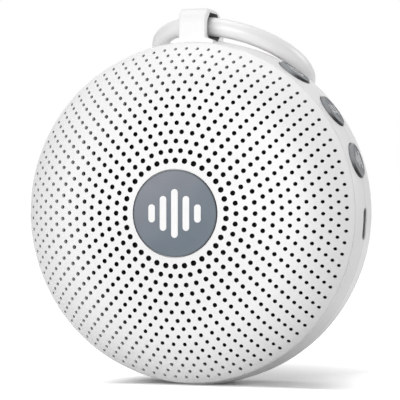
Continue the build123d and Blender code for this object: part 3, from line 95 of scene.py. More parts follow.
class Painter:
    """Builds the node tree of one material."""

    def __init__(self, name: str) -> None:
        """Starts an empty material.

        Args:
            name: Name of the material.
        """
        self.made = bpy.data.materials.new(name)
        self.made.use_nodes = True
        self.nodes = self.made.node_tree.nodes
        self.links = self.made.node_tree.links
        self.nodes.clear()
        self.output = self.nodes.new("ShaderNodeOutputMaterial")
        self.shader = self.nodes.new("ShaderNodeBsdfPrincipled")
        self.links.new(self.shader.outputs["BSDF"], self.output.inputs["Surface"])
        texture = self.nodes.new("ShaderNodeTexCoord")
        self.place = texture.outputs["Object"]
        self.facing = texture.outputs["Normal"]

    def math(self, kind: str, first: Socket, second: Socket | float | None = None) -> Socket:
        """Adds one sum.

        Args:
            kind: Kind of sum.
            first: First value.
            second: Second value, if it takes one.

        Returns:
            The result's socket.
        """
        node = self.nodes.new("ShaderNodeMath")
        node.operation = kind
        self.links.new(first, node.inputs[0])
        if isinstance(second, float):
            node.inputs[1].default_value = second
        elif second is not None:
            self.links.new(second, node.inputs[1])
        return node.outputs[0]

    def vector(self, kind: str, first: Socket, second: Point | Vector) -> bpy.types.Node:
        """Adds one vector sum with a fixed second vector.

        Args:
            kind: Kind of sum.
            first: First vector.
            second: Second vector.

        Returns:
            The node, whose outputs are Vector and Value.
        """
        node = self.nodes.new("ShaderNodeVectorMath")
        node.operation = kind
        self.links.new(first, node.inputs[0])
        node.inputs[1].default_value = tuple(second)
        return node

    def offset(self, centre_mm: Point) -> Socket:
        """Place on the surface, measured from a point.

        Args:
            centre_mm: The point.

        Returns:
            The offset's vector socket, in metres.
        """
        return self.vector("SUBTRACT", self.place, Vector(centre_mm) * MM).outputs["Vector"]

    def along(self, first: Socket, direction: Point) -> Socket:
        """How far a vector reaches along a direction.

        Args:
            first: The vector.
            direction: The unit direction.

        Returns:
            The reach's socket.
        """
        return self.vector("DOT_PRODUCT", first, direction).outputs["Value"]

    def across(self, first: Socket, axis: Point) -> Socket:
        """How far a vector reaches away from an axis.

        Args:
            first: The vector.
            axis: The unit axis.

        Returns:
            The distance's socket.
        """
        return self.length(self.vector("CROSS_PRODUCT", first, axis).outputs["Vector"])

    def length(self, first: Socket) -> Socket:
        """Length of a vector.

        Args:
            first: The vector.

        Returns:
            Its length's socket.
        """
        node = self.nodes.new("ShaderNodeVectorMath")
        node.operation = "LENGTH"
        self.links.new(first, node.inputs[0])
        return node.outputs["Value"]

    def ramp(self, value: Socket, start: float, end: float, low: float = 0.0, high: float = 1.0) -> Socket:
        """Maps a value smoothly from one range to another and holds it at the ends.

        Args:
            value: The value.
            start: Value at which the result is low.
            end: Value at which the result is high.
            low: Result at the start.
            high: Result at the end.

        Returns:
            The mapped value's socket.
        """
        node = self.nodes.new("ShaderNodeMapRange")
        node.interpolation_type = "SMOOTHSTEP"
        for name, number in (("From Min", start), ("From Max", end), ("To Min", low), ("To Max", high)):
            node.inputs[name].default_value = number
        self.links.new(value, node.inputs["Value"])
        return node.outputs["Result"]

    def noise(self, size_mm: float, detail: float = 2.0, stretch: Point = (1.0, 1.0, 1.0)) -> Socket:
        """Adds a noise with features of a real size.

        Args:
            size_mm: Size of its features.
            detail: Octaves of finer noise.
            stretch: Scale along each axis; below one draws the features out.

        Returns:
            The noise's value socket.
        """
        mapping = self.nodes.new("ShaderNodeMapping")
        mapping.inputs["Scale"].default_value = stretch
        self.links.new(self.place, mapping.inputs["Vector"])
        node = self.nodes.new("ShaderNodeTexNoise")
        node.inputs["Scale"].default_value = 1.0 / (size_mm * MM)
        node.inputs["Detail"].default_value = detail
        self.links.new(mapping.outputs["Vector"], node.inputs["Vector"])
        return node.outputs["Fac"]

    def weave(self, size_mm: float) -> Socket:
        """Adds a plain weave of two crossing sets of threads.

        Args:
            size_mm: Distance between threads.

        Returns:
            The height of the weave.
        """
        heights = []
        for direction in ("X", "Z"):
            wave = self.nodes.new("ShaderNodeTexWave")
            wave.bands_direction = direction
            wave.inputs["Scale"].default_value = WAVE_PERIOD / (size_mm * MM)
            wave.inputs["Distortion"].default_value = 0.6
            wave.inputs["Detail"].default_value = 1.0
            self.links.new(self.place, wave.inputs["Vector"])
            heights.append(wave.outputs["Fac"])
        return self.math("MAXIMUM", heights[0], heights[1])

    def cells(self, size_mm: float) -> Socket:
        """Adds a cell pattern, as open foam or a cast surface shows.

        Args:
            size_mm: Size of one cell.

        Returns:
            The distance within each cell.
        """
        node = self.nodes.new("ShaderNodeTexVoronoi")
        node.inputs["Scale"].default_value = 1.0 / (size_mm * MM)
        self.links.new(self.place, node.inputs["Vector"])
        return node.outputs["Distance"]

    def blend(self, factor: Socket, first: Socket | Point, second: Socket | Point) -> Socket:
        """Mixes two colours.

        Args:
            factor: Share of the second colour.
            first: First colour.
            second: Second colour.

        Returns:
            The mixed colour's socket.
        """
        mix = self.nodes.new("ShaderNodeMix")
        mix.data_type = "RGBA"
        colours = [socket for socket in mix.inputs if socket.type == "RGBA"]
        for socket, colour in zip(colours, (first, second)):
            if isinstance(colour, tuple):
                socket.default_value = (*colour, 1.0)
            else:
                self.links.new(colour, socket)
        self.links.new(factor, mix.inputs["Factor"])
        return next(socket for socket in mix.outputs if socket.type == "RGBA")


@dataclass(frozen=True)
class Mark:
    """A second colour that a finish takes in one place."""

    colour: Point
    share: float = 1.0
    within: "Mark | None" = None

    def mask(self, painter: Painter) -> Socket:
        """Where the colour shows.

        Args:
            painter: The material's builder.

        Returns:
            A value from nought to one.
        """
        raise NotImplementedError

    def shown(self, painter: Painter) -> Socket:
        """How much of the colour shows, where another mark may limit it.

        Args:
            painter: The material's builder.

        Returns:
            A value from nought to one.
        """
        value = self.mask(painter)
        if self.within is not None:
            value = painter.math("MULTIPLY", value, self.within.shown(painter))
        return painter.math("MULTIPLY", value, self.share) if self.share < 1.0 else value


@dataclass(frozen=True)
class LineMark(Mark):
    """Shows along a circle about an axis, such as a seam."""

    centre_mm: Point = BODY_AXIS
    axis: Point = TO_BACK
    radius_mm: float = 49.0
    depth_mm: float = 0.0
    reach_mm: float = 0.1

    def mask(self, painter: Painter) -> Socket:
        """Where the line shows.

        Args:
            painter: The material's builder.

        Returns:
            A value from nought to one.
        """
        offset = painter.offset(self.centre_mm)
        deep = painter.math("SUBTRACT", painter.along(offset, self.axis), self.depth_mm * MM)
        wide = painter.math("SUBTRACT", painter.across(offset, self.axis), self.radius_mm * MM)
        squares = painter.math("ADD", painter.math("POWER", deep, 2.0), painter.math("POWER", wide, 2.0))
        return painter.ramp(painter.math("SQRT", squares), self.reach_mm * MM, 0.0)


@dataclass(frozen=True)
class EdgeMark(Mark):
    """Shows beyond a radius from an axis, such as the side of a button."""

    centre_mm: Point = BODY_AXIS
    axis: Point = TO_BACK
    radius_mm: float = 10.0
    fade_mm: float = 0.1

    def mask(self, painter: Painter) -> Socket:
        """Where the edge shows.

        Args:
            painter: The material's builder.

        Returns:
            A value from nought to one.
        """
        radius = painter.across(painter.offset(self.centre_mm), self.axis)
        return painter.ramp(radius, (self.radius_mm - self.fade_mm) * MM, self.radius_mm * MM)


@dataclass(frozen=True)
class SpotMark(Mark):
    """Shows round a point and fades with distance from it."""

    centre_mm: Point = BODY_AXIS
    near_mm: float = 10.0
    far_mm: float = 20.0

    def mask(self, painter: Painter) -> Socket:
        """Where the spot is.

        Args:
            painter: The material's builder.

        Returns:
            A value from nought to one.
        """
        return painter.ramp(painter.length(painter.offset(self.centre_mm)), self.far_mm * MM, self.near_mm * MM)


@dataclass(frozen=True)
class WallMark(Mark):
    """Shows on surfaces that run along an axis, such as the walls of holes."""

    axis: Point = TO_BACK
    limit: float = 0.2

    def mask(self, painter: Painter) -> Socket:
        """Where the walls are.

        Args:
            painter: The material's builder.

        Returns:
            A value from nought to one.
        """
        steepness = painter.math("ABSOLUTE", painter.along(painter.facing, self.axis))
        return painter.ramp(steepness, self.limit, self.limit / 2)


@dataclass(frozen=True)
class BoxMark(Mark):
    """Shows inside a box, such as a tunnel."""

    low_mm: Point = (0.0, 0.0, 0.0)
    high_mm: Point = (1.0, 1.0, 1.0)
    fade_mm: float = 0.15

    def mask(self, painter: Painter) -> Socket:
        """Where the box is.

        Args:
            painter: The material's builder.

        Returns:
            A value from nought to one.
        """
        split = painter.nodes.new("ShaderNodeSeparateXYZ")
        painter.links.new(painter.offset((Vector(self.low_mm) + Vector(self.high_mm)) / 2), split.inputs[0])
        found = None
        for index in range(3):
            half = (self.high_mm[index] - self.low_mm[index]) / 2 * MM
            reach = painter.math("ABSOLUTE", split.outputs[index])
            inside = painter.ramp(reach, half, half - self.fade_mm * MM)
            found = inside if found is None else painter.math("MULTIPLY", found, inside)
        return found


@dataclass(frozen=True)
class FadeMark(Mark):
    """Shows more and more along a direction; used for painted highlight and painted shade."""

    centre_mm: Point = BODY_AXIS
    direction: Point = (0.0, 0.0, 1.0)
    start_mm: float = -10.0
    end_mm: float = 10.0

    def mask(self, painter: Painter) -> Socket:
        """How far the second tone has come.

        Args:
            painter: The material's builder.

        Returns:
            A value from nought to one.
        """
        along = painter.along(painter.offset(self.centre_mm), self.direction)
        return painter.ramp(along, self.start_mm * MM, self.end_mm * MM)


@dataclass(frozen=True)
class Finish:
    """One finish: its colours, its gloss, the structure of its surface and its marks."""

    name: str
    colour: Point
    tint: Point
    grain: Grain
    roughness: float
    roughness_spread: float = 0.05
    grain_mm: float = 0.12
    relief_mm: float = 0.004
    patch_mm: float = 12.0
    metallic: float = 0.0
    coat: float = 0.0
    coat_roughness: float = 0.08
    sheen: float = 0.0
    specular: float = 0.5
    marks: tuple[Mark, ...] = ()

    def material(self) -> bpy.types.Material:
        """Makes the finish's material, or returns it if it is there already.

        Returns:
            The node-based material.
        """
        own = f"finish_{self.name}"
        return bpy.data.materials.get(own) or self.paint(Painter(own))

    def relief(self, painter: Painter) -> Socket:
        """Adds the pattern that gives the finish its relief.

        Args:
            painter: The material's builder.

        Returns:
            The pattern's value socket.
        """
        if self.grain is Grain.WOVEN:
            return painter.weave(self.grain_mm)
        if self.grain in (Grain.FOAM, Grain.CAST):
            return painter.cells(self.grain_mm)
        if self.grain is Grain.BRUSHED:
            return painter.noise(self.grain_mm, 3.0, (1.0, 0.06, 1.0))
        return painter.noise(self.grain_mm)

    def paint(self, painter: Painter) -> bpy.types.Material:
        """Builds the whole tree.

        Args:
            painter: The material's builder.

        Returns:
            The finished material.
        """
        shader = painter.shader
        relief = self.relief(painter)
        patches = painter.noise(self.patch_mm, 3.0)
        coloured = relief if self.grain in (Grain.WOVEN, Grain.FOAM) else patches
        colour = painter.blend(coloured, self.colour, self.tint)
        for mark in self.marks:
            colour = painter.blend(mark.shown(painter), colour, mark.colour)
        painter.links.new(colour, shader.inputs["Base Color"])
        low = self.roughness - self.roughness_spread
        high = self.roughness + self.roughness_spread
        painter.links.new(painter.ramp(patches, *PATCH_RANGE, low, high), shader.inputs["Roughness"])
        bump = painter.nodes.new("ShaderNodeBump")
        bump.inputs["Distance"].default_value = self.relief_mm * MM
        painter.links.new(relief, bump.inputs["Height"])
        painter.links.new(bump.outputs["Normal"], shader.inputs["Normal"])
        shader.inputs["Metallic"].default_value = self.metallic
        shader.inputs["Specular IOR Level"].default_value = self.specular
        shader.inputs["Coat Weight"].default_value = self.coat
        shader.inputs["Coat Roughness"].default_value = self.coat_roughness
        shader.inputs["Sheen Weight"].default_value = self.sheen
        return painter.made


def white(
    name: str, roughness: float, grain_mm: float, relief_mm: float, level: float, marks: tuple[Mark, ...] = ()
) -> Finish:
    """One of the white plastics, which differ in gloss and texture only.

    Args:
        name: Name of the finish.
        roughness: Its roughness.
        grain_mm: Size of its texture.
        relief_mm: Height of its texture.
        level: How light it is.
        marks: Seams, and the painted shade in the hole walls and in the strap's tunnel, that it shows.

    Returns:
        The finish.
    """
    colour = (level, level * 0.995, level * 0.998)
    tint = (level * 0.985, level * 0.978, level * 0.981)
    return Finish(name, colour, tint, Grain.MOULDED, roughness, 0.04, grain_mm, relief_mm, 18.0, marks=marks)


# Colour of the painted shade in the hole walls and at the foot of the buttons.
SHADE_DARK = (0.012, 0.012, 0.013)
LINE_GREY = (0.10, 0.10, 0.10)
# Colour of the painted shade inside the strap's tunnel.
TUNNEL_SHADE_GREY = (0.14, 0.14, 0.14)

# The walls of the holes carry painted shade: dark in the middle and to the right, and white towards the left margin.
SHADED = SpotMark(SHADE_DARK, 1.0, None, (12.0, -14.0, AXIS_Z - 3.0), 36.0, 46.0)
HOLE_WALL_SHADE = WallMark(SHADE_DARK, 1.0, SHADED, TO_BACK, 0.25)
SEAM = LineMark(LINE_GREY, 0.6, radius_mm=49.0, depth_mm=0.0, reach_mm=0.15)

# Painted shade inside the strap's tunnel: two boxes follow its rounded corners without reaching its outside.
TUNNEL_SHADE_BOXES = (
    BoxMark(TUNNEL_SHADE_GREY, 1.0, None, (-4.02, -3.9, AXIS_Z + 47.7), (4.02, 9.9, AXIS_Z + 56.1)),
    BoxMark(TUNNEL_SHADE_GREY, 1.0, None, (-4.02, -2.9, AXIS_Z + 47.7), (4.02, 8.9, AXIS_Z + 57.05)),
)

DOME_WHITE = white("dome_white", 0.46, 0.16, 0.0035, 0.87, (HOLE_WALL_SHADE,))
BAND_WHITE = white("band_white", 0.42, 0.14, 0.0025, 0.83, (SEAM, *TUNNEL_SHADE_BOXES))
LOOP_WHITE = white("loop_white", 0.50, 0.20, 0.0030, 0.87, TUNNEL_SHADE_BOXES)
RING_WHITE = white("ring_white", 0.34, 0.30, 0.0020, 0.83)
CLOTH_BLACK = Finish(
    "cloth_black", (0.006, 0.006, 0.006), (0.014, 0.014, 0.015), Grain.WOVEN, 0.9, 0.04, 0.25, 0.05, specular=0.2
)
# The fade to a lighter tone towards the upper left is a painted highlight.
BADGE_GREY = Finish(
    "badge_grey", (0.088, 0.118, 0.150), (0.082, 0.111, 0.142),
    Grain.MOULDED, 0.42, 0.04, 0.1, 0.0015, 6.0, specular=0.4,
    marks=(
        FadeMark((0.165, 0.178, 0.210), 1.0, None, BODY_AXIS, (-0.55, 0.0, 0.835), -9.0, 13.0),
        EdgeMark((0.05, 0.06, 0.075), 0.8, None, BODY_AXIS, TO_BACK, 11.8, 0.25),
    ),
)
BAR_LIGHT = Finish("bar_light", (0.86, 0.86, 0.86), (0.82, 0.82, 0.82), Grain.MOULDED, 0.4, 0.04, 0.1, 0.001, 4.0)
ICON_LIGHT = Finish("icon_light", (0.62, 0.63, 0.65), (0.56, 0.57, 0.59), Grain.MOULDED, 0.4, 0.04, 0.1, 0.001, 2.0)
STEM_DARK = Finish("stem_dark", (0.05, 0.05, 0.05), (0.03, 0.03, 0.03), Grain.MOULDED, 0.5)
SWITCH_BLACK = Finish("switch_black", (0.02, 0.02, 0.022), (0.035, 0.035, 0.035), Grain.MOULDED, 0.45)
FLEX_AMBER = Finish(
    "flex_amber", (0.42, 0.20, 0.035), (0.50, 0.26, 0.05), Grain.BRUSHED, 0.3, 0.05, 0.4, 0.004, 2.0, coat=0.3
)
BRACKET_GREY = Finish("bracket_grey", (0.45, 0.45, 0.46), (0.40, 0.40, 0.41), Grain.MOULDED, 0.5)
STEEL_BRIGHT = Finish(
    "steel_bright", (0.72, 0.71, 0.69), (0.62, 0.61, 0.60), Grain.BRUSHED, 0.28, 0.08, 0.05, 0.001, 2.0, metallic=1.0
)
STEEL_ZINC = Finish(
    "steel_zinc", (0.60, 0.60, 0.58), (0.50, 0.51, 0.50), Grain.CAST, 0.38, 0.08, 0.4, 0.002, 3.0, metallic=1.0
)
CONTACT_GOLD = Finish(
    "contact_gold", (0.83, 0.60, 0.26), (0.74, 0.52, 0.20), Grain.BRUSHED, 0.25, 0.05, 0.05, 0.001, 1.0, metallic=1.0
)
PORT_STEEL = Finish(
    "port_steel", (0.22, 0.22, 0.23), (0.16, 0.16, 0.17), Grain.BRUSHED, 0.42, 0.06, 0.05, 0.001, 2.0, metallic=0.8
)
TONGUE_BLACK = Finish("tongue_black", (0.02, 0.02, 0.02), (0.03, 0.03, 0.03), Grain.MOULDED, 0.42)
BOARD_GREEN = Finish(
    "board_green", (0.012, 0.10, 0.045), (0.03, 0.17, 0.08), Grain.MASK, 0.3, 0.08, 1.6, 0.02, 1.4, coat=0.4
)
RIBBON_WHITE = Finish("ribbon_white", (0.70, 0.70, 0.69), (0.55, 0.56, 0.58), Grain.BRUSHED, 0.4, 0.05, 0.5, 0.02, 2.0)
CHIP_BLACK = Finish("chip_black", (0.018, 0.018, 0.019), (0.03, 0.03, 0.03), Grain.CAST, 0.6, 0.08, 0.08, 0.002, 1.0)
CAN_SILVER = Finish(
    "can_silver", (0.76, 0.77, 0.78), (0.66, 0.67, 0.68), Grain.BRUSHED, 0.25, 0.06, 0.1, 0.001, 2.0, metallic=1.0
)
CONNECTOR_CREAM = Finish("connector_cream", (0.72, 0.68, 0.56), (0.66, 0.62, 0.50), Grain.MOULDED, 0.45)
BATTERY_FOIL = Finish(
    "battery_foil", (0.58, 0.60, 0.62), (0.48, 0.50, 0.53), Grain.MASK, 0.32, 0.1, 3.0, 0.08, 5.0, metallic=0.9
)
FOAM_GREY = Finish("foam_grey", (0.10, 0.10, 0.105), (0.03, 0.03, 0.032), Grain.FOAM, 0.95, 0.03, 0.4, 0.15)
LEAD_RED = Finish("lead_red", (0.42, 0.02, 0.015), (0.34, 0.015, 0.012), Grain.SOFT, 0.42)
LEAD_BLACK = Finish("lead_black", (0.02, 0.02, 0.02), (0.035, 0.035, 0.035), Grain.SOFT, 0.42)
CARRIER_BLACK = Finish("carrier_black", (0.035, 0.035, 0.037), (0.05, 0.05, 0.05), Grain.MOULDED, 0.5, 0.05, 0.2, 0.006)
BASKET_BLACK = Finish("basket_black", (0.02, 0.02, 0.021), (0.03, 0.03, 0.03), Grain.CAST, 0.42, 0.08, 0.3, 0.006)
MAGNET_GREY = Finish("magnet_grey", (0.06, 0.06, 0.065), (0.035, 0.035, 0.04), Grain.CAST, 0.7, 0.1, 0.5, 0.02)
CONE_BLACK = Finish(
    "cone_black", (0.03, 0.03, 0.031), (0.05, 0.05, 0.05), Grain.PAPER, 0.85, 0.06, 0.5, 0.03, sheen=0.2
)
SURROUND_BLACK = Finish(
    "surround_black", (0.018, 0.018, 0.019), (0.028, 0.028, 0.028), Grain.SOFT, 0.38, 0.05, 0.3, 0.004
)
COIL_COPPER = Finish(
    "coil_copper", (0.62, 0.26, 0.11), (0.48, 0.19, 0.08), Grain.BRUSHED, 0.3, 0.06, 0.12, 0.02, 1.0, metallic=1.0
)
SPIDER_YELLOW = Finish("spider_yellow", (0.50, 0.38, 0.15), (0.34, 0.25, 0.09), Grain.WOVEN, 0.85, 0.05, 0.5, 0.08)
FOOT_GREY = Finish("foot_grey", (0.16, 0.165, 0.17), (0.13, 0.135, 0.14), Grain.SOFT, 0.65, 0.05, 0.25, 0.01)


def dress(target: bpy.types.Object, finish: Finish) -> None:
    """Gives an object one finish all over.

    Args:
        target: The object.
        finish: Its finish.
    """
    target.data.materials.clear()
    target.data.materials.append(finish.material())


@dataclass
class Assembly:
    """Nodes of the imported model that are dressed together."""

    nodes: dict
    finishes: dict[str, Finish] = field(default_factory=dict)

    def build(self) -> None:
        """Dresses every node of the sub-assembly."""
        for name, finish in self.finishes.items():
            dress(self.nodes[name], finish)
            LOG.info("%s is %s", name, finish.name)


@dataclass
class Housing(Assembly):
    """White shells, strap loop, cloth, badge, screws and foot."""

    finishes: dict[str, Finish] = field(
        default_factory=lambda: {
            "front_grille": DOME_WHITE,
            "rim_band": BAND_WHITE,
            "rear_shell": BAND_WHITE,
            "strap_loop": LOOP_WHITE,
            "grille_cloth": CLOTH_BLACK,
            "centre_badge": BADGE_GREY,
            "badge_bars": BAR_LIGHT,
            "housing_screws": STEEL_ZINC,
            "foot_ring": FOOT_GREY,
        }
    )


@dataclass
class ClipRing(Assembly):
    """The hanging ring, its gate and the gate's pin."""

    finishes: dict[str, Finish] = field(
        default_factory=lambda: {"hanging_ring": RING_WHITE, "ring_gate": RING_WHITE, "gate_pin": STEEL_BRIGHT}
    )


@dataclass
class Electronics(Assembly):
    """Boards, battery, leads and the switches behind the buttons."""

    finishes: dict[str, Finish] = field(
        default_factory=lambda: {
            "lower_stem": STEM_DARK,
            "middle_stem": STEM_DARK,
            "upper_stem": STEM_DARK,
            "tact_switches": SWITCH_BLACK,
            "button_flex": FLEX_AMBER,
            "button_bracket": BRACKET_GREY,
            "usb_board": BOARD_GREEN,
            "usb_ribbon": RIBBON_WHITE,
            "main_board": BOARD_GREEN,
            "board_chips": CHIP_BLACK,
            "board_capacitors": CAN_SILVER,
            "board_connectors": CONNECTOR_CREAM,
            "board_screws": STEEL_ZINC,
            "battery_pack": BATTERY_FOIL,
            "battery_foam": FOAM_GREY,
            "battery_leads": LEAD_RED,
            "speaker_leads": LEAD_BLACK,
        }
    )


@dataclass
class Loudspeaker(Assembly):
    """The speaker, its carrier and its screws."""

    finishes: dict[str, Finish] = field(
        default_factory=lambda: {
            "speaker_carrier": CARRIER_BLACK,
            "speaker_basket": BASKET_BLACK,
            "speaker_top_plate": STEEL_ZINC,
            "speaker_magnet": MAGNET_GREY,
            "speaker_yoke": STEEL_ZINC,
            "speaker_cone": CONE_BLACK,
            "speaker_surround": SURROUND_BLACK,
            "speaker_dust_cap": CONE_BLACK,
            "speaker_voice_coil": COIL_COPPER,
            "speaker_spider": SPIDER_YELLOW,
            "speaker_terminals": CONNECTOR_CREAM,
            "speaker_gasket": FOAM_GREY,
            "speaker_screws": STEEL_ZINC,
        }
    )


class Bench:
    """Shapes one mesh with edit operators, in millimetres, and then sets it in its place."""

    def __init__(self, name: str) -> None:
        """Names the piece.

        Args:
            name: Name of the piece.
        """
        self.name = name
        self.piece: bpy.types.Object | None = None

    def begin(self) -> None:
        """Takes the primitive just added as the piece and opens it for editing."""
        self.piece = bpy.context.active_object
        self.piece.name = self.name
        bpy.ops.object.mode_set(mode="EDIT")

    def cylinder(self, radius: float, low: float, high: float, sides: int = 96) -> "Bench":
        """Starts from an upright cylinder.

        Args:
            radius: Its radius.
            low: Height of its foot.
            high: Height of its top.
            sides: Number of sides.

        Returns:
            The bench.
        """
        bpy.ops.mesh.primitive_cylinder_add(
            vertices=sides, radius=radius, depth=high - low, location=(0.0, 0.0, (low + high) / 2)
        )
        bpy.ops.object.transform_apply(location=True, rotation=True, scale=True)
        self.begin()
        return self

    def block(self, size: Point, middle: Point) -> "Bench":
        """Starts from a block.

        Args:
            size: Its three sizes.
            middle: Its middle.

        Returns:
            The bench.
        """
        bpy.ops.mesh.primitive_cube_add(size=1.0, location=middle, scale=size)
        bpy.ops.object.transform_apply(location=True, rotation=True, scale=True)
        self.begin()
        return self

    def hoop(self, radius: float, height: float, sides: int = 48) -> "Bench":
        """Starts from an open circle of edges.

        Args:
            radius: Its radius.
            height: Height of its plane.
            sides: Number of sides.

        Returns:
            The bench.
        """
        bpy.ops.mesh.primitive_circle_add(
            vertices=sides, radius=radius, fill_type="NOTHING", location=(0.0, 0.0, height)
        )
        bpy.ops.object.transform_apply(location=True, rotation=True, scale=True)
        self.begin()
        bpy.ops.mesh.select_mode(type="EDGE")
        bpy.ops.mesh.select_all(action="SELECT")
        return self

    def faces(self, test: Callable[[Vector, Vector], bool]) -> "Bench":
        """Selects faces by their middle and their normal.

        Args:
            test: Says whether a face is wanted.

        Returns:
            The bench.
        """
        bpy.ops.mesh.select_mode(type="FACE")
        shape = bmesh.from_edit_mesh(self.piece.data)
        for face in shape.faces:
            face.select = test(face.calc_center_median(), face.normal)
        shape.select_flush_mode()
        bmesh.update_edit_mesh(self.piece.data)
        return self

    def edges(self, test: Callable[[Vector, Vector], bool]) -> "Bench":
        """Selects edges by their two ends.

        Args:
            test: Says whether an edge is wanted.

        Returns:
            The bench.
        """
        bpy.ops.mesh.select_mode(type="EDGE")
        shape = bmesh.from_edit_mesh(self.piece.data)
        for edge in shape.edges:
            edge.select = test(edge.verts[0].co, edge.verts[1].co)
        shape.select_flush_mode()
        bmesh.update_edit_mesh(self.piece.data)
        return self

    def extrude(self, rise: float) -> "Bench":
        """Extrudes the selection upwards.

        Args:
            rise: By how much.

        Returns:
            The bench.
        """
        bpy.ops.mesh.extrude_region_move(TRANSFORM_OT_translate={"value": (0.0, 0.0, rise)})
        return self

    def spread(self, factor: float) -> "Bench":
        """Extrudes the selection in its own plane and scales it about the axis.

        Args:
            factor: Scale of the new outline.

        Returns:
            The bench.
        """
        bpy.ops.mesh.extrude_region_move(TRANSFORM_OT_translate={"value": (0.0, 0.0, 0.0)})
        bpy.ops.transform.resize(value=(factor, factor, 1.0), center_override=(0.0, 0.0, 0.0))
        return self

    def inset(self, width: float) -> "Bench":
        """Insets the selected faces.

        Args:
            width: By how much.

        Returns:
            The bench.
        """
        bpy.ops.mesh.inset(thickness=width)
        return self

    def bevel(self, width: float, steps: int) -> "Bench":
        """Bevels the selected edges.

        Args:
            width: Width of the bevel.
            steps: Number of segments.

        Returns:
            The bench.
        """
        bpy.ops.mesh.bevel(offset=width, segments=steps, affect="EDGES")
        return self

    def remove(self) -> "Bench":
        """Deletes the selected faces.

        Returns:
            The bench.
        """
        bpy.ops.mesh.delete(type="FACE")
        return self

    def close(self) -> bpy.types.Object:
        """Turns all faces outwards and leaves edit mode.

        Returns:
            The piece, still in millimetres.
        """
        bpy.ops.mesh.select_all(action="SELECT")
        bpy.ops.mesh.normals_make_consistent(inside=False)
        bpy.ops.object.mode_set(mode="OBJECT")
        return self.piece


def join(pieces: list[bpy.types.Object], name: str) -> bpy.types.Object:
    """Joins pieces into one object.

    Args:
        pieces: The pieces.
        name: Name of the result.

    Returns:
        The joined object.
    """
    bpy.ops.object.select_all(action="DESELECT")
    for piece in pieces:
        piece.select_set(True)
    bpy.context.view_layer.objects.active = pieces[0]
    if len(pieces) > 1:
        bpy.ops.object.join()
    pieces[0].name = name
    return pieces[0]


def settle(piece: bpy.types.Object, place: Matrix, crease_deg: float = 35.0) -> bpy.types.Object:
    """Sets a finished piece in its place, with that place in its mesh, and smooths it.

    Args:
        piece: The piece, in millimetres about its own origin.
        place: Where it goes, with the change to metres.
        crease_deg: Angle above which an edge stays sharp.

    Returns:
        The piece.
    """
    bpy.ops.object.select_all(action="DESELECT")
    piece.select_set(True)
    bpy.context.view_layer.objects.active = piece
    piece.matrix_world = place
    bpy.ops.object.transform_apply(location=True, rotation=True, scale=True)
    bpy.ops.object.shade_smooth_by_angle(angle=math.radians(crease_deg))
    piece.select_set(False)
    return piece


class Sign(Enum):
    """The generic signs on the three buttons."""

    SOUND = "lower"
    PLAY = "middle"
    POWER = "upper"


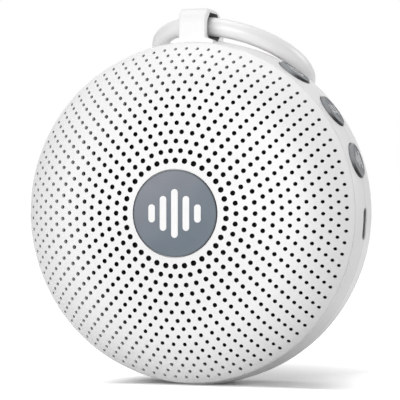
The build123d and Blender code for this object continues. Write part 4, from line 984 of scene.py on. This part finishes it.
@dataclass
class PushButtons:
    """The three dished caps in the rim and the raised signs on them."""

    angles: dict[str, float] = field(default_factory=lambda: {"lower": 17.6, "middle": 35.8, "upper": 53.9})
    face_r: float = 49.4
    cap_r: float = 4.85
    cap_round: float = 0.4
    flange_r: float = 5.6
    flange_low: float = 46.05
    flange_top: float = 46.85
    plunger_r: float = 1.5
    plunger_low: float = 42.5
    lip: float = 0.55
    # Colour of the painted highlight on the cap's lip.
    lip_highlight: Point = (0.30, 0.31, 0.32)
    dish: float = 0.14
    dish_round: float = 0.12
    # Heights between which the painted shade at the cap's foot fades in.
    foot_top: float = 49.25
    foot_low: float = 48.95
    sign_rise: float = 0.1
    sign_root: float = 0.05
    stroke: float = 0.7
    stroke_round: float = 0.35
    stroke_edge: float = 0.04
    power_arc: Point = (2.3, 55.0, 125.0)
    power_bar: Point = (2.4, 0.0, 2.0)
    play_arc: Point = (1.7, 0.0, 0.0)
    play_bars: tuple[Point, ...] = ((3.4, 2.5, 0.0), (3.4, -2.4, 0.0))
    level_bars: tuple[Point, ...] = ((1.8, -2.4, 0.0), (4.4, -0.8, 0.0), (2.8, 0.8, 0.0), (5.2, 2.4, 0.0))

    def place(self, angle: float) -> Matrix:
        """Frame of a button: X towards the back, Y up the rim, Z outwards from the body axis.

        Args:
            angle: The button's angle.

        Returns:
            The frame, which also changes millimetres to metres.
        """
        right, up, out = Vector((0.0, 1.0, 0.0)), outward(angle + 90.0), outward(angle)
        turn = Matrix((right, up, out)).transposed().to_4x4()
        return Matrix.Translation(Vector(BODY_AXIS) * MM) @ turn @ Matrix.Scale(MM, 4)

    def finish(self, name: str, angle: float) -> Finish:
        """Soft grey rubber with a painted highlight on its lip and painted shade at the foot of its lower side.

        Args:
            name: The button's name.
            angle: Its angle.

        Returns:
            The finish.
        """
        out, down = tuple(outward(angle)), tuple(outward(angle - 90.0))
        # Painted shade at the foot of the cap, on its lower side only.
        low_side_shade = FadeMark(SHADE_DARK, 1.0, None, BODY_AXIS, down, -1.5, 3.5)
        foot = FadeMark(SHADE_DARK, 1.0, low_side_shade, BODY_AXIS, out, self.foot_top, self.foot_low)
        return Finish(
            f"{name}_cap_grey", (0.150, 0.157, 0.167), (0.115, 0.122, 0.132),
            Grain.SOFT, 0.48, 0.05, 0.12, 0.003, 2.5, specular=0.3,
            marks=(
                # The lighter lip is a painted highlight.
                EdgeMark(self.lip_highlight, 0.7, None, BODY_AXIS, out, self.cap_r - self.lip + 0.05, 0.1),
                # The dark side at the foot is painted shade.
                EdgeMark(SHADE_DARK, 1.0, foot, BODY_AXIS, out, self.cap_r - 0.1, 0.12),
            ),
        )

    def cap(self, name: str) -> bpy.types.Object:
        """Models one cap: plunger, flange, side, rounded lip and shallow dish.

        Args:
            name: The button's name.

        Returns:
            The cap, in millimetres.
        """
        bench = Bench(f"{name}_cap").cylinder(self.plunger_r, self.plunger_low, self.flange_low)
        top = self.flange_low
        bench.faces(lambda middle, normal: normal.z > UPRIGHT and abs(middle.z - top) < SAME)
        bench.spread(self.flange_r / self.plunger_r).extrude(self.flange_top - self.flange_low)
        bench.inset(self.flange_r - self.cap_r).extrude(self.face_r - self.flange_top)
        bench.inset(self.lip).extrude(-self.dish)
        bench.edges(self.on_face(self.cap_r)).bevel(self.cap_round, 6)
        bench.edges(self.on_face(self.cap_r - self.lip)).bevel(self.dish_round, 3)
        return bench.close()

    def on_face(self, radius: float) -> Callable[[Vector, Vector], bool]:
        """Test for the edges of a circle at the height of the cap's face.

        Args:
            radius: The circle's radius.

        Returns:
            The test.
        """
        return lambda a, b: all(
            abs(end.z - self.face_r) < SAME and abs(end.to_2d().length - radius) < 2 * SAME for end in (a, b)
        )

    def bar(self, height: float, x: float, y: float) -> bpy.types.Object:
        """One straight upright stroke of a sign.

        Args:
            height: Its height.
            x: Its middle, to the right.
            y: Its middle, upwards.

        Returns:
            The stroke, in millimetres.
        """
        thick = self.sign_rise + 2 * self.sign_root
        middle_z = self.face_r - self.dish + self.sign_rise / 2 - self.sign_root
        bench = Bench("stroke").block((self.stroke, height, thick), (x, y, middle_z))
        bench.edges(lambda a, b: abs(a.z - b.z) > thick / 4).bevel(self.stroke * self.stroke_round, 3)
        bench.faces(lambda middle, normal: normal.z > UPRIGHT).inset(self.stroke_edge)
        return bench.close()

    def arc(self, radius: float, gap_from: float, gap_to: float, sides: int = 48) -> bpy.types.Object:
        """One curved stroke of a sign: a ring with a gap.

        Args:
            radius: Its middle radius.
            gap_from: Angle where the gap starts, in degrees from the right.
            gap_to: Angle where it ends.
            sides: Sides of the full ring.

        Returns:
            The stroke, in millimetres.
        """
        inner = radius - self.stroke / 2
        bench = Bench("stroke").hoop(inner, self.face_r - self.dish - self.sign_root, sides)
        bench.spread((radius + self.stroke / 2) / inner)

        def in_gap(middle: Vector, normal: Vector) -> bool:
            angle = math.degrees(math.atan2(middle.y, middle.x)) % 360.0
            return gap_from < angle < gap_to

        if gap_to > gap_from:
            bench.faces(in_gap).remove()
        bench.faces(lambda middle, normal: True)
        bench.extrude(self.sign_rise + self.sign_root)
        return bench.close()

    def sign(self, kind: Sign) -> bpy.types.Object:
        """Models a button's raised sign.

        Args:
            kind: Which sign.

        Returns:
            The sign, in millimetres.
        """
        if kind is Sign.POWER:
            strokes = [self.arc(*self.power_arc), self.bar(*self.power_bar)]
        elif kind is Sign.PLAY:
            strokes = [self.arc(*self.play_arc, 3), *(self.bar(*row) for row in self.play_bars)]
        else:
            strokes = [self.bar(*row) for row in self.level_bars]
        return join(strokes, f"{kind.value}_sign")

    def build(self) -> None:
        """Makes the caps and their signs and lets them ride on their keys."""
        for kind in Sign:
            name, angle = kind.value, self.angles[kind.value]
            cap = settle(self.cap(name), self.place(angle))
            dress(cap, self.finish(name, angle))
            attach(cap, f"{name}_key")
            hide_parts(f"{name}_button")
            sign = settle(self.sign(kind), self.place(angle), 25.0)
            dress(sign, ICON_LIGHT)
            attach(sign, f"{name}_key")
            LOG.info("%s cap and sign made", name)


@dataclass
class ChargingPort:
    """The charging port's shell and tongue and the contacts on the tongue."""

    nodes: dict
    angle: float = -3.5
    contact_low: float = 43.4
    contact_high: float = 47.3
    contact_width: float = 0.26
    contact_rise: float = 0.04
    contact_root: float = 0.02
    contact_round: float = 0.015
    pitch: float = 0.5
    count: int = 12
    tongue_thick: float = 0.7

    def contacts(self) -> bpy.types.Object:
        """Models one row of contacts and copies it to the other side of the tongue.

        Returns:
            Both rows, in millimetres.
        """
        rows = []
        first_y = -self.pitch * (self.count - 1) / 2
        middle_z = (self.contact_low + self.contact_high) / 2
        size = (self.contact_rise + self.contact_root, self.contact_width, self.contact_high - self.contact_low)
        for side in (1.0, -1.0):
            x = side * (self.tongue_thick + self.contact_rise) / 2
            bench = Bench("contact_row").block(size, (x, first_y, middle_z))
            bench.edges(self.at_tip).bevel(self.contact_round, 2)
            row = bench.close()
            repeat = row.modifiers.new("repeat", "ARRAY")
            repeat.use_relative_offset = False
            repeat.use_constant_offset = True
            repeat.constant_offset_displace = (0.0, self.pitch, 0.0)
            repeat.count = self.count
            bpy.ops.object.modifier_apply(modifier=repeat.name)
            rows.append(row)
        return join(rows, "port_contacts")

    def at_tip(self, first: Vector, second: Vector) -> bool:
        """Test for the edges across the outer end of a contact.

        Args:
            first: One end of the edge.
            second: Its other end.

        Returns:
            Whether it is such an edge.
        """
        return abs(first.y - second.y) > self.contact_width / 2 and first.z > self.contact_high - SAME

    def build(self) -> None:
        """Dresses the port and adds its contacts."""
        dress(self.nodes["usb_shell"], PORT_STEEL)
        dress(self.nodes["usb_tongue"], TONGUE_BLACK)
        contacts = settle(self.contacts(), PushButtons().place(self.angle))
        dress(contacts, CONTACT_GOLD)
        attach(contacts, "housing")
        LOG.info("port contacts made")


def seen_rays(nodes: bpy.types.Nodes, links: bpy.types.NodeLinks) -> Socket:
    """Says whether a ray comes from the camera, a reflection or clear material.

    Args:
        nodes: Nodes of a material or a world.
        links: Its links.

    Returns:
        One for such a ray and nought for the others.
    """
    path = nodes.new("ShaderNodeLightPath")
    seen = path.outputs["Is Camera Ray"]
    for name in ("Is Glossy Ray", "Is Transmission Ray"):
        either = nodes.new("ShaderNodeMath")
        either.operation = "MAXIMUM"
        links.new(seen, either.inputs[0])
        links.new(path.outputs[name], either.inputs[1])
        seen = either.outputs[0]
    return seen


@dataclass(frozen=True)
class Lamp:
    """One soft rectangular lamp that faces the object, in metres and watts."""

    name: str
    place: Point
    size: tuple[float, float]
    watts: float

    def hang(self, aim: Point) -> None:
        """Adds the lamp to the scene.

        Args:
            aim: Where it points.
        """
        data = bpy.data.lights.new(self.name, "AREA")
        data.shape = "RECTANGLE"
        data.size, data.size_y = self.size
        data.energy = self.watts
        lamp = bpy.data.objects.new(self.name, data)
        lamp.location = self.place
        lamp.rotation_mode = "QUATERNION"
        lamp.rotation_quaternion = (Vector(aim) - Vector(self.place)).to_track_quat("-Z", "Y")
        bpy.context.scene.collection.objects.link(lamp)


LAMPS = (
    Lamp("front_lamp", (0.15, -1.20, 0.30), (0.6, 0.6), 5.3),
    Lamp("low_lamp", (0.0, -1.10, 0.10), (0.8, 0.16), 2.9),
    Lamp("low_left_lamp", (-0.55, -1.0, 0.16), (0.5, 0.3), 2.6),
    Lamp("top_lamp", (0.0, 0.05, 0.95), (0.7, 0.7), 4.0),
    Lamp("back_lamp", (0.85, 0.55, 0.30), (0.3, 0.5), 3.7),
)


@dataclass
class Studio:
    """Camera, lamps, floor and world."""

    distance_mm: float = 565.4
    turn_deg: float = 16.97
    tilt_deg: float = 0.32
    across_mm: float = 2.139
    up_mm: float = 3.60
    aim_mm: Point = (0.0, -4.33, 48.744)
    lens_mm: float = 179.94
    sensor_mm: float = 36.0
    clip: tuple[float, float] = (0.01, 100.0)
    lamp_aim: Point = (0.0, 0.0, 0.05)
    floor_size: float = 30.0
    floor_level: float = 0.50
    glow: float = 0.9
    glow_start: float = 0.03
    glow_end: float = 0.13
    clear_sides: tuple[tuple[Point, float, float], ...] = (
        ((0.0, -1.0, 0.0), 0.0, 0.012),
        ((-1.0, 0.0, 0.0), 0.012, 0.036),
        ((1.0, 0.0, 0.0), 0.020, 0.075),
    )
    fill: float = 0.15

    def camera(self) -> None:
        """Puts the camera at the fitted place."""
        turn, tilt = math.radians(self.turn_deg), math.radians(self.tilt_deg)
        ahead = Vector((-math.sin(turn) * math.cos(tilt), math.cos(turn) * math.cos(tilt), -math.sin(tilt)))
        right = Vector((math.cos(turn), math.sin(turn), 0.0))
        above = right.cross(ahead)
        spot = Vector(self.aim_mm) - ahead * self.distance_mm + right * self.across_mm + above * self.up_mm
        data = bpy.data.cameras.new("studio_camera")
        data.lens = self.lens_mm
        data.sensor_width = self.sensor_mm
        data.clip_start, data.clip_end = self.clip
        camera = bpy.data.objects.new("studio_camera", data)
        camera.location = spot * MM
        camera.rotation_mode = "QUATERNION"
        camera.rotation_quaternion = ahead.to_track_quat("-Z", "Y")
        bpy.context.scene.collection.objects.link(camera)
        bpy.context.scene.camera = camera

    def floor(self) -> None:
        """Lays a pale floor that shows as white away from the object's shadow."""
        bpy.ops.mesh.primitive_plane_add(size=self.floor_size, location=(0.0, 0.0, 0.0))
        floor = bpy.context.active_object
        floor.name = "studio_floor"
        painter = Painter("floor_white")
        painter.nodes.remove(painter.shader)
        seen = seen_rays(painter.nodes, painter.links)
        matt = painter.nodes.new("ShaderNodeBsdfDiffuse")
        level = painter.blend(seen, (self.floor_level,) * 3, (1.0, 1.0, 1.0))
        painter.links.new(level, matt.inputs["Color"])
        glow = painter.nodes.new("ShaderNodeEmission")
        far = painter.ramp(painter.length(painter.place), self.glow_start, self.glow_end, 0.0, self.glow)
        for direction, start, end in self.clear_sides:
            along = painter.along(painter.place, direction)
            far = painter.math("MAXIMUM", far, painter.ramp(along, start, end, 0.0, self.glow))
        painter.links.new(painter.math("MULTIPLY", seen, far), glow.inputs["Strength"])
        both = painter.nodes.new("ShaderNodeAddShader")
        painter.links.new(matt.outputs["BSDF"], both.inputs[0])
        painter.links.new(glow.outputs["Emission"], both.inputs[1])
        painter.links.new(both.outputs["Shader"], painter.output.inputs["Surface"])
        floor.data.materials.append(painter.made)
        floor.select_set(False)

    def world(self) -> None:
        """Fills the room with even light and shows it as white."""
        world = bpy.data.worlds.new("studio_world")
        world.use_nodes = True
        nodes, links = world.node_tree.nodes, world.node_tree.links
        nodes.clear()
        output = nodes.new("ShaderNodeOutputWorld")
        mix = nodes.new("ShaderNodeMixShader")
        links.new(seen_rays(nodes, links), mix.inputs["Fac"])
        for socket, strength in zip(list(mix.inputs)[1:], (self.fill, 1.0)):
            light = nodes.new("ShaderNodeBackground")
            light.inputs["Color"].default_value = (1.0, 1.0, 1.0, 1.0)
            light.inputs["Strength"].default_value = strength
            links.new(light.outputs["Background"], socket)
        links.new(mix.outputs["Shader"], output.inputs["Surface"])
        bpy.context.scene.world = world

    def build(self) -> None:
        """Sets up the whole studio."""
        self.camera()
        for lamp in LAMPS:
            lamp.hang(self.lamp_aim)
        self.floor()
        self.world()
        bpy.context.scene.view_settings.view_transform = "Standard"


def main() -> None:
    """Builds every sub-assembly in order."""
    logging.basicConfig(level=logging.INFO, format="%(message)s")
    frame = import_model()
    bpy.ops.object.select_all(action="DESELECT")
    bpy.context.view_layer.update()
    nodes = frame["nodes"]
    for assembly in (Housing, ClipRing, Electronics, Loudspeaker):
        assembly(nodes).build()
    PushButtons().build()
    ChargingPort(nodes).build()
    Studio().build()


if __name__ == "__main__":
    main()
